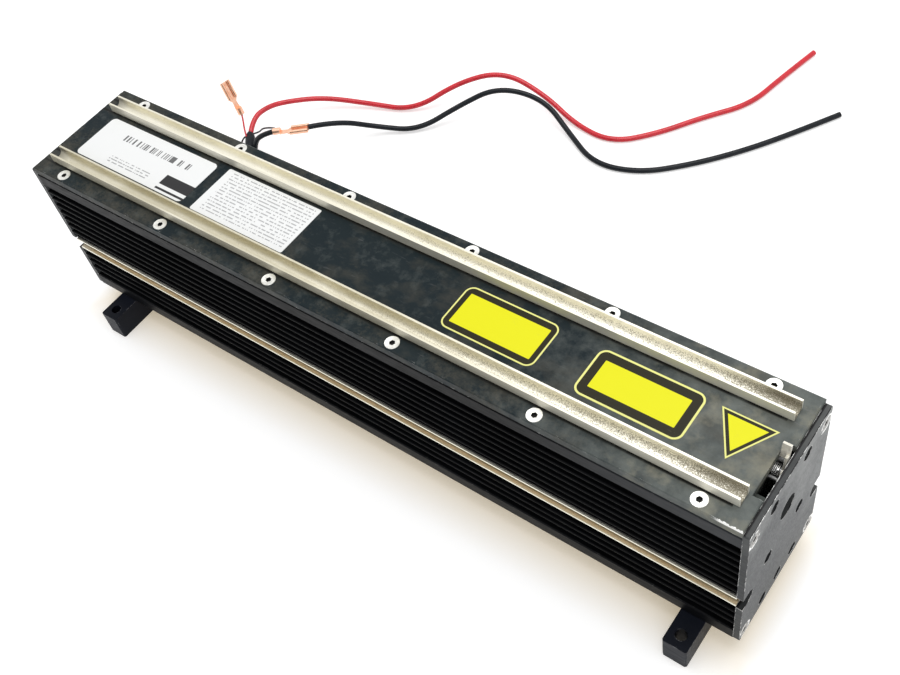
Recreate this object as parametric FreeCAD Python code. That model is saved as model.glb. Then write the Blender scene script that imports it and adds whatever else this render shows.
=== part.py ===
import FreeCAD, Part
import math
import os

# Sealed carbon dioxide laser: a finned aluminium body on two cross bars, closed by a screwed top
# cover and two end plates. Millimetres. +X is the way the beam leaves, +Z is up, and the origin is
# on the floor under the middle of the body.

Vec = FreeCAD.Vector
os.makedirs("parts", exist_ok=True)

# body, plates and cover
body_width = 72.0
body_length = 433.2
body_height = 94.5
front_plate_thick = 3.2
rear_plate_thick = 3.0
end_plate_rise = 3.1
end_plate_width = 71.8
gasket_thick = 1.2
gasket_inset = 0.8
cover_thick = 4.4
edge_chamfer = 0.5
foot_height = 16.5
foot_length = 12.7
foot_span = 107.6
foot_chamfer = 0.8
foot_front_inset = 19.8
foot_rear_inset = 24.1
foot_hole_r = 3.0
foot_hole_inset = 6.8

# fins on each side, counted down from the top flange and from the groove boss
flange_height = 8.3
band_height = 8.3
fin_depth = 8.0
fin_pitch = 5.57
fin_pitch_low = 5.8
fin_first_drop_low = 4.6
fin_tip_thick = 1.3
fin_root_extra = 0.45
fin_clear = 3.0

# four identical bright channels, two on the cover and two in the sides
channel_width = 8.0
channel_height = 6.0
channel_wall = 1.0
channel_clear = 0.1
side_channel_z = 37.0
side_channel_recess = 0.25
boss_recess = 1.2
boss_lip = 1.3
top_channel_y = 23.0
top_channel_inset_rear = 8.3
top_channel_inset_front = 6.2
notch_height = 9.5
notch_depth = 9.0

# bore of the tube, driver bay, shutter pocket and cable window
beam_drop = 26.0
tube_r = 17.0
bay_half_width = 22.0
bay_floor = 12.0
bay_web = 9.5
bay_corner_r = 3.0
pocket_depth = 6.0
pocket_drop = 12.0
pocket_y_near = -15.0
pocket_y_far = 25.8
pocket_corner_r = 3.0
window_half = 17.0
window_margin = 0.9
cable_x_inset = 25.8
cable_z = 20.0

# front plate holes
aperture_r = 6.35
accessory_spacing_y = 29.0
accessory_spacing_z = 43.0
accessory_r = 3.5
lower_row_z = 6.5
lower_row_pitch = 14.5
blind_depth = 8.0

# screws
cover_screw_y = 31.5
cover_screw_first = 21.9
cover_screw_count = 6
screw_head_r = 3.75
screw_head_h = 2.2
screw_shank_r = 1.9
screw_socket_r = 1.25
screw_socket_deep = 1.6
screw_clear = 0.15
cover_screw_reach = 7.0
plate_screw_y = 31.2
plate_screw_low_z = 4.15
plate_screw_reach = 10.0
foot_screw_y = 20.0
foot_screw_shank_r = 2.4
foot_screw_head_r = 4.2
foot_screw_head_h = 5.0
foot_screw_socket_r = 2.0
foot_screw_reach = 8.0
foot_counterbore = 6.0

# notch in the cover for the shutter lever
slot_depth = 4.6
slot_y_near = -19.6
slot_y_far = 9.0

# shutter lever
lever_thick = 1.2
lever_gap = 0.5
lever_pivot_y = 1.5
lever_pivot_drop = 5.0
lever_tilt = 12.0
lever_swing = 54.0
lever_hub_r = 3.4
lever_arm_half = 1.5
lever_blade_r = 9.3
lever_tab_reach = 15.9
lever_tab_start = 8.0
lever_tab_lap = 2.4
lever_tab_width = 3.9
lever_tab_thick = 1.2
pivot_r = 1.5
pivot_clear = 0.05
pivot_collar_r = 2.6
pivot_embed = 6.0
stop_r = 1.0
stop_radius = 4.0
stop_gap = 0.3

# gas tube inside the bore
optic_r = 6.35
optic_thick = 3.0
optic_clear = 0.05
mirror_thick = 4.0
mount_thick = 11.0
mount_clear = 0.08
mount_bore_r = 4.5
ring_r = 10.0
ring_thick = 2.0
mount_back = 6.0
electrode_half = 9.0
electrode_height = 7.6
guide_gap = 4.8
electrode_end_gap = 3.0
spacer_count = 4
spacer_thick = 6.0
feed_r = 1.5
feed_sleeve_r = 3.0

# driver in the lower bay
board_length = 300.0
board_half = 19.0
board_thick = 1.6
post_r = 3.0
post_height = 6.0
post_span_x = 280.0
post_span_y = 30.0
transistor_size = (24.0, 10.0, 6.0)
transistor_count = 2
transistor_offset = 24.0
transistor_gap = 8.0
capacitor_r = 6.0
capacitor_headroom = 8.4
capacitor_count = 4
capacitor_gap = 4.0
capacitor_offset = 20.0
choke_r = 7.0
choke_hole_r = 3.0
choke_height = 7.0
choke_offset = 24.0

# bare stickers on the cover: middle x from the end named, middle y, length, width, corner radius;
# the triangle has its two ends from the front, then the y of its long edge and of its point
label_thick = 0.15
label_rear = (56.0, 0.4, 85.0, 31.0, 3.0)
label_second = (139.0, 0.8, 66.0, 32.5, 1.0)
label_third_from_front = (140.7, 0.4, 49.5, 23.0, 2.5)
label_fourth_from_front = (68.2, 0.0, 46.5, 25.8, 2.5)
label_triangle_from_front = (34.2, 8.4, 11.7, -10.3)

# leads
sleeve_d = 7.0
lead_d = 3.6
boot_d = 4.8
wire_d = 1.2
grommet_flange_r = 6.8
grommet_flange_thick = 1.5
grommet_body_r = 5.0
grommet_bore_r = 3.55
grommet_wire_offset = 5.6
terminal_length = 25.0

# derived places
overall_length = rear_plate_thick + body_length + front_plate_thick
rear_x = rear_plate_thick - overall_length / 2
front_x = rear_x + body_length
half = body_width / 2
base_z = foot_height
beam_z = body_height - beam_drop
bay_top = beam_z - tube_r - bay_web
lever_pivot_z = body_height - lever_pivot_drop
end_plate_height = body_height + end_plate_rise
body_top = base_z + body_height
cover_low = body_top + gasket_thick
cover_top = cover_low + cover_thick
root_y = half - fin_depth
boss_half = channel_width / 2 + channel_clear + boss_lip
beam = base_z + beam_z
fin_room_upper = body_height - flange_height - side_channel_z - boss_half - fin_clear
fin_count_upper = int(fin_room_upper / fin_pitch)
fin_room_lower = side_channel_z - boss_half - fin_first_drop_low - band_height - fin_clear
fin_count_lower = int(fin_room_lower / fin_pitch_low) + 1
plate_screw_high_z = body_height - flange_height / 2 + 0.05


def export(shape, name):
    shape.exportStep("parts/%s.step" % name)
    box = shape.BoundBox
    print("%-22s solids %2d volume %10.1f z %.2f..%.2f" % (
        name, len(shape.Solids), shape.Volume, box.ZMin, box.ZMax))


def cylinder(r, length, pos, axis):
    return Part.makeCylinder(r, length, Vec(*pos), Vec(*axis))


def block(low, high):
    size = [b - a for a, b in zip(low, high)]
    return Part.makeBox(size[0], size[1], size[2], Vec(*low))


def rounded_block(low, high, radius, along):
    shape = block(low, high)
    edges = []
    for edge in shape.Edges:
        a, b = edge.Vertexes[0].Point, edge.Vertexes[-1].Point
        if abs((b - a).normalize().dot(Vec(*along))) > 0.99:
            edges.append(edge)
    return shape.makeFillet(radius, edges)


def group(shapes):
    return Part.makeCompound(shapes)


def cut_all(shape, tools):
    if not tools:
        return shape
    return shape.cut(group(tools)) if len(tools) == 1 else shape.cut(tools)


def wire_of(points, closed=True):
    edges = []
    for item in points:
        if len(item) == 2:
            edges.append(Part.LineSegment(Vec(*item[0]), Vec(*item[1])).toShape())
        else:
            edges.append(Part.Arc(Vec(*item[0]), Vec(*item[1]), Vec(*item[2])).toShape())
    return Part.Wire(edges)


# Finned body: one half of its section is walked upwards and mirrored.

def half_section(sign):
    """Edges from the bottom to the top of one side, as (start, end) or (start, mid, end)."""
    path = []
    here = [None]

    def to(y, z):
        point = (rear_x, sign * y, base_z + z)
        if here[0] is not None:
            path.append((here[0], point))
        here[0] = point

    def tip(z, r):
        low = (rear_x, sign * (half - r), base_z + z - r)
        mid = (rear_x, sign * half, base_z + z)
        high = (rear_x, sign * (half - r), base_z + z + r)
        path.append((here[0], low))
        path.append((low, mid, high))
        here[0] = high

    boss_low = side_channel_z - boss_half
    boss_high = side_channel_z + boss_half
    tip_r = fin_tip_thick / 2
    root_half = tip_r + fin_root_extra
    low_fins = [boss_low - fin_first_drop_low - fin_pitch_low * i for i in range(fin_count_lower)]
    high_fins = [body_height - flange_height - fin_pitch * (i + 1) for i in range(fin_count_upper)]
    to(half - edge_chamfer, 0)
    to(half, edge_chamfer)
    to(half, band_height - edge_chamfer)
    to(half - edge_chamfer, band_height)
    to(root_y, band_height + fin_root_extra)
    for z in sorted(low_fins):
        to(root_y, z - root_half)
        tip(z, tip_r)
        to(root_y, z + root_half)
    boss_y = half - boss_recess
    groove_y = half - side_channel_recess - channel_height - channel_clear
    groove_half = channel_width / 2 + channel_clear
    to(root_y, boss_low - fin_root_extra)
    to(boss_y, boss_low)
    to(boss_y, side_channel_z - groove_half)
    to(groove_y, side_channel_z - groove_half)
    to(groove_y, side_channel_z + groove_half)
    to(boss_y, side_channel_z + groove_half)
    to(boss_y, boss_high)
    to(root_y, boss_high + fin_root_extra)
    for z in sorted(high_fins):
        to(root_y, z - root_half)
        tip(z, tip_r)
        to(root_y, z + root_half)
    to(root_y, body_height - flange_height - fin_root_extra)
    to(half - edge_chamfer, body_height - flange_height)
    to(half, body_height - flange_height + edge_chamfer)
    to(half, body_height - edge_chamfer)
    to(half - edge_chamfer, body_height)
    return path


def reverse(path):
    return [tuple(reversed(item)) for item in reversed(path)]


def make_chassis():
    far = half_section(1)
    near = half_section(-1)
    bottom = [(near[0][0], far[0][0])]
    top = [(far[-1][-1], near[-1][-1])]
    outline = wire_of(bottom + far + top + reverse(near))
    body = Part.Face(outline).extrude(Vec(body_length, 0, 0))
    tube = cylinder(tube_r, body_length + 2, (rear_x - 1, 0, beam), (1, 0, 0))
    bay = rounded_block(
        (rear_x - 1, -bay_half_width, base_z + bay_floor),
        (front_x + 1, bay_half_width, base_z + bay_top), bay_corner_r, (1, 0, 0))
    pocket = rounded_block(
        (front_x - pocket_depth, pocket_y_near, base_z + beam_z - pocket_drop),
        (front_x + 1, pocket_y_far, body_top + 2 * pocket_corner_r), pocket_corner_r, (1, 0, 0))
    window = block(
        (cable_x - window_half, root_y, base_z + band_height + window_margin),
        (cable_x + window_half, half + 1, base_z + side_channel_z - boss_half - window_margin))
    cable_hole = cylinder(grommet_body_r, root_y, (cable_x, bay_half_width - 1, base_z + cable_z), (0, 1, 0))
    tools = [tube, bay, pocket, window, cable_hole]
    for x, y in cover_screw_places():
        tools.append(cylinder(screw_shank_r, cover_screw_reach + 0.5, (x, y, body_top + 0.1), (0, 0, -1)))
    for y, z in plate_screw_places():
        for x, way in ((rear_x - 0.1, 1), (front_x + 0.1, -1)):
            tools.append(cylinder(screw_shank_r, plate_screw_reach + 0.6, (x, y, z), (way, 0, 0)))
    for y, z in blind_hole_places():
        tools.append(cylinder(accessory_r, blind_depth + 0.1, (front_x + 0.1, y, z), (-1, 0, 0)))
    for x in foot_places():
        for side in (-1, 1):
            tools.append(cylinder(
                foot_screw_shank_r, foot_screw_reach + 0.6, (x, side * foot_screw_y, base_z - 0.1), (0, 0, 1)))
    wall_x = front_x - pocket_depth
    tools.append(cylinder(pivot_r, pivot_embed + 0.1, (wall_x + 0.1, pivot_y, pivot_z), (-1, 0, 0)))
    for y, z in stop_places():
        tools.append(cylinder(stop_r, pivot_embed + 0.1, (wall_x + 0.1, y, z), (-1, 0, 0)))
    tools.append(cylinder(feed_sleeve_r, beam_z - bay_top, (feed_x, 0, base_z + bay_top - 1), (0, 0, 1)))
    return cut_all(body, tools)


def cover_screw_places():
    pitch = (body_length - cover_screw_first * 2 + 0.9) / (cover_screw_count - 1)
    xs = [rear_x + cover_screw_first + pitch * i for i in range(cover_screw_count)]
    return [(x, side * cover_screw_y) for side in (-1, 1) for x in xs]


def plate_screw_places():
    heights = (base_z + plate_screw_low_z, base_z + plate_screw_high_z)
    return [(side * plate_screw_y, z) for side in (-1, 1) for z in heights]


def accessory_places():
    dy, dz = accessory_spacing_y / 2, accessory_spacing_z / 2
    return [(sy * dy, beam + sz * dz) for sy in (-1, 1) for sz in (-1, 1)]


def lower_row_places():
    return [(lower_row_pitch * i, base_z + lower_row_z) for i in (-1, 0, 1)]


def blind_hole_places():
    return accessory_places() + lower_row_places()


def foot_places():
    return (rear_x + foot_rear_inset, front_x - foot_front_inset)


def stop_places():
    """Two stop pins beside the lever's upper arm, one for each end of its swing."""
    places = []
    reach = lever_arm_half + stop_r + stop_gap
    for angle, side in ((lever_tilt, 1), (lever_tilt - lever_swing, -1)):
        turn = math.radians(angle)
        along = (math.sin(turn), math.cos(turn))
        across = (math.cos(turn) * side, -math.sin(turn) * side)
        places.append((
            pivot_y + along[0] * stop_radius + across[0] * reach,
            pivot_z + along[1] * stop_radius + across[1] * reach))
    return places


cable_x = rear_x + cable_x_inset
feed_x = 0.0
pivot_y = lever_pivot_y
pivot_z = base_z + lever_pivot_z


# End plates, with a round-bottomed notch in each side edge for the side channels.

def side_notches(x, thick):
    tools = []
    z = base_z + side_channel_z
    r = notch_height / 2
    for side in (-1, 1):
        inner = side * (half - notch_depth + r)
        low_y, high_y = sorted((inner, side * (half + 2)))
        tools.append(block((x - 1, low_y, z - r), (x + thick + 1, high_y, z + r)))
        tools.append(cylinder(r, thick + 2, (x - 1, inner, z), (1, 0, 0)))
    return tools


def end_plate(x, thick):
    low = (x, -end_plate_width / 2, base_z)
    high = (x + thick, end_plate_width / 2, base_z + end_plate_height)
    plate = rounded_block(low, high, 1.0, (1, 0, 0))
    return cut_all(plate, side_notches(x, thick))


def countersunk(pos, way, reach):
    """Clearance for a flat-head screw whose head is flush at pos and points the other way."""
    direction = Vec(*way)
    cone = Part.makeCone(
        screw_head_r + screw_clear, screw_shank_r + screw_clear, screw_head_h, Vec(*pos), direction)
    lift = cylinder(screw_head_r + screw_clear, 1.0, tuple(Vec(*pos) - direction), way)
    hole = cylinder(screw_shank_r + screw_clear, reach, pos, way)
    return lift.fuse([cone, hole])


def flat_screw(pos, way, reach):
    direction = Vec(*way)
    head = Part.makeCone(screw_head_r, screw_shank_r, screw_head_h, Vec(*pos), direction)
    shank = cylinder(screw_shank_r, reach - screw_head_h, tuple(Vec(*pos) + direction * screw_head_h), way)
    socket = hexagon(screw_socket_r, screw_socket_deep, pos, way)
    return head.fuse(shank).cut(socket)


def hexagon(r, depth, pos, way):
    direction = Vec(*way)
    side = Vec(0, 0, 1) if abs(way[2]) < 0.5 else Vec(1, 0, 0)
    other = direction.cross(side)
    corners = []
    for i in range(6):
        angle = math.radians(60 * i)
        spot = side * (r * 1.155 * math.cos(angle)) + other * (r * 1.155 * math.sin(angle))
        corners.append(Vec(*pos) - direction * 0.5 + spot)
    corners.append(corners[0])
    return Part.Face(Part.makePolygon(corners)).extrude(direction * (depth + 0.5))


def make_front_plate():
    plate = end_plate(front_x, front_plate_thick)
    outer = front_x + front_plate_thick
    tools = [cylinder(aperture_r, front_plate_thick + 2, (front_x - 1, 0, beam), (1, 0, 0))]
    for y, z in accessory_places() + lower_row_places():
        tools.append(cylinder(accessory_r, front_plate_thick + 2, (front_x - 1, y, z), (1, 0, 0)))
    for y, z in plate_screw_places():
        tools.append(countersunk((outer, y, z), (-1, 0, 0), front_plate_thick + 1))
    return cut_all(plate, tools)


def make_rear_plate():
    outer = rear_x - rear_plate_thick
    plate = end_plate(outer, rear_plate_thick)
    tools = [countersunk((outer, y, z), (1, 0, 0), rear_plate_thick + 1) for y, z in plate_screw_places()]
    return cut_all(plate, tools)


def plate_screws(x, way, thick):
    reach = thick + plate_screw_reach
    return group([flat_screw((x, y, z), (way, 0, 0), reach) for y, z in plate_screw_places()])


# Cover, its gasket and its screws.

def make_cover():
    low = (rear_x, -half, cover_low)
    high = (front_x, half, cover_top)
    cover = block(low, high)
    rim = [edge for edge in cover.Edges if edge.BoundBox.ZMin > cover_top - 0.01]
    cover = cover.makeChamfer(edge_chamfer, rim)
    slot = block((front_x - slot_depth, slot_y_near, cover_low - 1), (front_x + 1, slot_y_far, cover_top + 1))
    tools = [slot]
    for x, y in cover_screw_places():
        tools.append(countersunk((x, y, cover_top), (0, 0, -1), cover_thick + 1))
    return cut_all(cover, tools)


def make_gasket():
    inner_x = front_x - pocket_depth - 2
    outer = block(
        (rear_x + gasket_inset, -half + gasket_inset, body_top),
        (front_x - gasket_inset, half - gasket_inset, cover_low))
    mouth = block((inner_x, slot_y_near - 1, body_top - 1), (front_x + 1, pocket_y_far + 1, cover_low + 1))
    tools = [mouth]
    for x, y in cover_screw_places():
        tools.append(cylinder(screw_shank_r + screw_clear, gasket_thick + 2, (x, y, body_top - 1), (0, 0, 1)))
    return cut_all(outer, tools)


def cover_screws(side):
    reach = cover_thick + gasket_thick + cover_screw_reach
    places = [place for place in cover_screw_places() if place[1] * side > 0]
    return group([flat_screw((x, y, cover_top), (0, 0, -1), reach) for x, y in places])


# Bright channel with a round-bottomed trough, drawn lying on z = 0 with its mouth upwards.

def channel(length):
    w = channel_width / 2
    r = w - channel_wall
    floor = channel_wall + r
    corner = 0.8
    outline = [
        ((0, -w + corner, 0), (0, w - corner, 0)),
        ((0, w - corner, 0), (0, w - corner * 0.293, corner * 0.293), (0, w, corner)),
        ((0, w, corner), (0, w, channel_height)),
        ((0, w, channel_height), (0, r, channel_height)),
        ((0, r, channel_height), (0, r, floor)),
        ((0, r, floor), (0, 0, channel_wall), (0, -r, floor)),
        ((0, -r, floor), (0, -r, channel_height)),
        ((0, -r, channel_height), (0, -w, channel_height)),
        ((0, -w, channel_height), (0, -w, corner)),
        ((0, -w, corner), (0, -w + corner * 0.293, corner * 0.293), (0, -w + corner, 0)),
    ]
    return Part.Face(wire_of(outline)).extrude(Vec(length, 0, 0))


def top_channel(side):
    length = body_length - top_channel_inset_rear - top_channel_inset_front
    shape = channel(length)
    shape.translate(Vec(rear_x + top_channel_inset_rear, side * top_channel_y, cover_top))
    return shape


def side_channel(side):
    shape = channel(body_length)
    shape.rotate(Vec(0, 0, 0), Vec(1, 0, 0), -90 * side)
    seat = half - side_channel_recess - channel_height
    shape.translate(Vec(rear_x, side * seat, base_z + side_channel_z))
    return shape


# Cross bars under the body, each fastened up into it by two socket screws.

def make_foot(x):
    low = (x - foot_length / 2, -foot_span / 2, 0)
    high = (x + foot_length / 2, foot_span / 2, foot_height)
    bar = block(low, high)
    bar = bar.makeChamfer(foot_chamfer, [e for e in bar.Edges if abs(e.BoundBox.XLength) < 0.01
                                         and e.BoundBox.ZLength > 1])
    tools = []
    for side in (-1, 1):
        tools.append(cylinder(
            foot_hole_r, foot_height + 2, (x, side * (foot_span / 2 - foot_hole_inset), -1), (0, 0, 1)))
        tools.append(cylinder(
            foot_screw_shank_r + screw_clear, foot_height + 2, (x, side * foot_screw_y, -1), (0, 0, 1)))
        tools.append(cylinder(
            foot_screw_head_r + screw_clear, foot_counterbore + 1, (x, side * foot_screw_y, -1), (0, 0, 1)))
    return cut_all(bar, tools)


def foot_screw(x, y):
    head = cylinder(foot_screw_head_r, foot_screw_head_h, (x, y, foot_counterbore - foot_screw_head_h), (0, 0, 1))
    length = foot_height - foot_counterbore + foot_screw_reach
    shank = cylinder(foot_screw_shank_r, length, (x, y, foot_counterbore), (0, 0, 1))
    socket = hexagon(foot_screw_socket_r, 3.0, (x, y, foot_counterbore - foot_screw_head_h), (0, 0, 1))
    return head.fuse(shank).cut(socket)


# Shutter: a lever on a pin above the beam, with a blade below and a bent tab through the cover.

def make_lever():
    x = front_x - lever_gap - lever_thick
    drop = lever_pivot_z - beam_z
    hub = cylinder(lever_hub_r, lever_thick, (x, 0, 0), (1, 0, 0))
    blade = cylinder(lever_blade_r, lever_thick, (x, 0, -drop), (1, 0, 0))
    lower = block((x, -lever_hub_r, -drop), (x + lever_thick, lever_hub_r, 0))
    upper = block((x, -lever_arm_half, 0), (x + lever_thick, lever_arm_half, lever_tab_start + lever_tab_lap))
    tab = block(
        (x + lever_thick - lever_tab_width, lever_arm_half - lever_tab_thick, lever_tab_start),
        (x + lever_thick, lever_arm_half, lever_tab_reach))
    hole = cylinder(pivot_r + pivot_clear, lever_thick + 2, (x - 1, 0, 0), (1, 0, 0))
    shape = hub.fuse([blade, lower, upper, tab]).cut(hole).removeSplitter()
    shape.rotate(Vec(0, 0, 0), Vec(1, 0, 0), -lever_tilt)
    shape.translate(Vec(0, pivot_y, pivot_z))
    return shape


def make_pivot():
    wall_x = front_x - pocket_depth
    lever_back = front_x - lever_gap - lever_thick
    pin = cylinder(pivot_r, front_x - 0.1 - wall_x + pivot_embed, (wall_x - pivot_embed, pivot_y, pivot_z), (1, 0, 0))
    collar = cylinder(pivot_collar_r, lever_back - 0.3 - wall_x, (wall_x, pivot_y, pivot_z), (1, 0, 0))
    return pin.fuse(collar)


def make_stops():
    wall_x = front_x - pocket_depth
    length = pocket_depth - lever_gap + pivot_embed
    return group([cylinder(stop_r, length, (wall_x - pivot_embed, y, z), (1, 0, 0)) for y, z in stop_places()])


# Gas tube: optics at both ends of the bore, two electrodes and two ceramic strips between them.

def optic_mount(face_x, way):
    """Disc in the bore with a seat for the optic; face_x is its outer face, way points outwards."""
    back = face_x - way * mount_thick
    disc = cylinder(tube_r - mount_clear, mount_thick, (min(face_x, back), 0, beam), (1, 0, 0))
    seat_r = optic_r + optic_clear
    thick = optic_thick if way > 0 else mirror_thick
    bore = cylinder(mount_bore_r, mount_thick + 2, (min(face_x, back) - 1, 0, beam), (1, 0, 0))
    seat = cylinder(seat_r, thick + 0.1, (face_x + way * 0.1, 0, beam), (-way, 0, 0))
    return cut_all(disc, [bore, seat])


def optic(face_x, way, thick):
    return cylinder(optic_r, thick, (face_x, 0, beam), (-way, 0, 0))


def clamp_ring(face_x, way):
    ring = cylinder(ring_r, ring_thick, (face_x, 0, beam), (way, 0, 0))
    return ring.cut(cylinder(mount_bore_r, ring_thick + 2, (face_x - way, 0, beam), (way, 0, 0)))


coupler_face = front_x - pocket_depth - mount_back
mirror_face = rear_x + mount_back
electrode_rear = mirror_face + mount_thick + electrode_end_gap
electrode_front = coupler_face - mount_thick - electrode_end_gap


def electrode(side):
    low = beam + side * guide_gap / 2
    low_z, high_z = sorted((low, low + side * electrode_height))
    return block((electrode_rear, -electrode_half, low_z), (electrode_front, electrode_half, high_z))


def guide_strip(side):
    low_y, high_y = sorted((side * guide_gap / 2, side * electrode_half))
    return block((electrode_rear, low_y, beam - guide_gap / 2), (electrode_front, high_y, beam + guide_gap / 2))


def electrode_spacers():
    stack_half = guide_gap / 2 + electrode_height
    rings = []
    span = electrode_front - electrode_rear
    for i in range(spacer_count):
        x = electrode_rear + span * (i + 0.5) / spacer_count - spacer_thick / 2
        ring = cylinder(tube_r - mount_clear, spacer_thick, (x, 0, beam), (1, 0, 0))
        hole = block(
            (x - 1, -electrode_half, beam - stack_half), (x + spacer_thick + 1, electrode_half, beam + stack_half))
        rings.append(ring.cut(hole))
    return group(rings)


def feed_insulator():
    low = base_z + bay_top - 2
    high = beam - math.sqrt(tube_r ** 2 - feed_sleeve_r ** 2)
    sleeve = cylinder(feed_sleeve_r, high - low, (feed_x, 0, low), (0, 0, 1))
    return sleeve.cut(cylinder(feed_r, high - low + 2, (feed_x, 0, low - 1), (0, 0, 1)))


def feed_pin():
    low = base_z + bay_floor + post_height + board_thick
    high = beam - guide_gap / 2 - electrode_height
    return cylinder(feed_r, high - low, (feed_x, 0, low), (0, 0, 1))


# Driver board on four posts in the lower bay.

board_low = base_z + bay_floor + post_height
board_top = board_low + board_thick


def make_board():
    return block((-board_length / 2, -board_half, board_low), (board_length / 2, board_half, board_top))


def board_posts():
    posts = []
    for sx in (-1, 1):
        for sy in (-1, 1):
            spot = (sx * post_span_x / 2, sy * post_span_y / 2, base_z + bay_floor)
            posts.append(cylinder(post_r, post_height, spot, (0, 0, 1)))
    return group(posts)


def power_transistors():
    long, wide, high = transistor_size
    shapes = []
    for i in range(transistor_count):
        x = feed_x + transistor_offset + i * (long + transistor_gap)
        shapes.append(block((x, -wide / 2, board_top), (x + long, wide / 2, board_top + high)))
    return group(shapes)


def filter_capacitors():
    shapes = []
    capacitor_height = base_z + bay_top - board_top - capacitor_headroom
    for i in range(capacitor_count):
        x = -board_length / 2 + capacitor_offset + i * (2 * capacitor_r + capacitor_gap)
        shapes.append(cylinder(capacitor_r, capacitor_height, (x, 0, board_top), (0, 0, 1)))
    return group(shapes)


def make_choke():
    x = feed_x - choke_offset
    ring = cylinder(choke_r, choke_height, (x, 0, board_top), (0, 0, 1))
    return ring.cut(cylinder(choke_hole_r, choke_height + 2, (x, 0, board_top - 1), (0, 0, 1)))


# Bare stickers on the cover.

def label(mid_x, spec):
    mid_y, long, wide, radius = spec[1:]
    low = (mid_x - long / 2, mid_y - wide / 2, cover_top)
    high = (mid_x + long / 2, mid_y + wide / 2, cover_top + label_thick)
    return rounded_block(low, high, radius, (0, 0, 1))


def triangle_label():
    from_low, from_high, base_y, tip_y = label_triangle_from_front
    low_x = front_x - from_low
    high_x = front_x - from_high
    corners = [Vec(low_x, base_y, cover_top), Vec(high_x, base_y, cover_top),
               Vec((low_x + high_x) / 2, tip_y, cover_top)]
    corners.append(corners[0])
    return Part.Face(Part.makePolygon(corners)).extrude(Vec(0, 0, label_thick))


# Leads: a route is straight runs joined by tangent arcs.

def tube(points, diameter, name):
    spots = [Vec(*p) for p in points]
    edges = []
    start = spots[0]
    radii = []
    for i in range(1, len(spots) - 1):
        before = spots[i] - spots[i - 1]
        after = spots[i + 1] - spots[i]
        turn = before.getAngle(after)
        cut_back = 0.45 * min(before.Length, after.Length)
        radii.append(cut_back / math.tan(turn / 2))
        a = spots[i] - before.normalize() * cut_back
        b = spots[i] + after.normalize() * cut_back
        bisector = ((a + b) * 0.5 - spots[i]).normalize()
        centre_gap = radii[-1] / math.cos(turn / 2)
        middle = spots[i] + bisector * (centre_gap - radii[-1])
        edges.append(Part.LineSegment(start, a).toShape())
        edges.append(Part.Arc(a, middle, b).toShape())
        start = b
    edges.append(Part.LineSegment(start, spots[-1]).toShape())
    path = Part.Wire(edges)
    first = (spots[1] - spots[0]).normalize()
    profile = Part.Wire([Part.Circle(spots[0], first, diameter / 2).toShape()])
    solid = path.makePipeShell([profile], True, False)
    expected = math.pi * diameter ** 2 / 4 * path.Length
    print("%-14s length %.1f volume ratio %.4f radii %s" % (
        name, path.Length, solid.Volume / expected, " ".join("%.0f" % r for r in radii)))
    return solid


gland_y = root_y + grommet_flange_thick
sleeve_end = (-220.5, 106, 7)
sleeve_points = [
    (cable_x, gland_y, base_z + cable_z), (-192, 54, 33), (-199, 76, 20), (-209, 93, 9), sleeve_end]
boot_end = (-229.5, 115, 10.5)
boot_start = (-221.9, 104.8, 7)
red_points = [
    boot_end, (-234.5, 125, 15.5), (-233, 139, 15.5), (-228, 152, 12), (-209, 170, 9), (-179, 184, 4),
    (-147, 194, 2), (-125, 221, 15), (-99, 239, 20), (-67, 240, 10), (-39, 232, 2), (-9, 228, 2),
    (13, 248, 2), (32, 275, 2), (53, 299, 2), (59, 331, 2), (66.5, 363, 2)]
tail_points = [(-219.1, 107.2, 7), (-219.5, 110, 13), (-212.5, 113, 19.5), (-205, 117, 22)]
crimp_near = (-205, 117, 22)
crimp_far = (-184, 130, 24)
black_points = [
    crimp_far, (-173, 147, 20), (-157, 166, 6), (-132, 179, 2), (-114, 204, 11), (-94, 224, 20),
    (-63, 233, 14), (-37, 222, 3), (-9, 206, 2), (21, 212, 2), (45, 232, 2), (67, 256, 2),
    (88, 285, 2), (107, 315, 2)]
thin_black_points = [
    (cable_x + grommet_wire_offset, gland_y + 0.2, base_z + cable_z), (-184, 50, 30), (-200, 76, 12),
    (-221, 96, 2.5), (-237, 109, 3), (-239, 117, 4.5), (-229, 122, 7), (-219, 120.5, 17.5),
    (-206.2, 119.6, 22.5)]
thin_red_points = [(-229.3, 111.2, 12.0), (-234.5, 115.5, 14.5), (-238.5, 119.5, 15.5), (-241.5, 122.5, 19)]
flag_base = (-241.5, 122.5, 19)
flag_tip = (-249.2, 124.2, 42)


def make_grommet():
    z = base_z + cable_z
    flange = cylinder(grommet_flange_r, grommet_flange_thick, (cable_x, root_y, z), (0, 1, 0))
    plug = cylinder(grommet_body_r, root_y - bay_half_width, (cable_x, bay_half_width, z), (0, 1, 0))
    bore = cylinder(grommet_bore_r, root_y, (cable_x, bay_half_width - 1, z), (0, 1, 0))
    wire_hole = cylinder(
        wire_d / 2 + 0.05, root_y, (cable_x + grommet_wire_offset, bay_half_width - 1, z), (0, 1, 0))
    return flange.fuse(plug).cut(bore).cut(wire_hole)


def make_boot():
    a, b = Vec(*boot_start), Vec(*boot_end)
    return cylinder(boot_d / 2, (b - a).Length, boot_start, tuple((b - a).normalize()))


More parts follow.
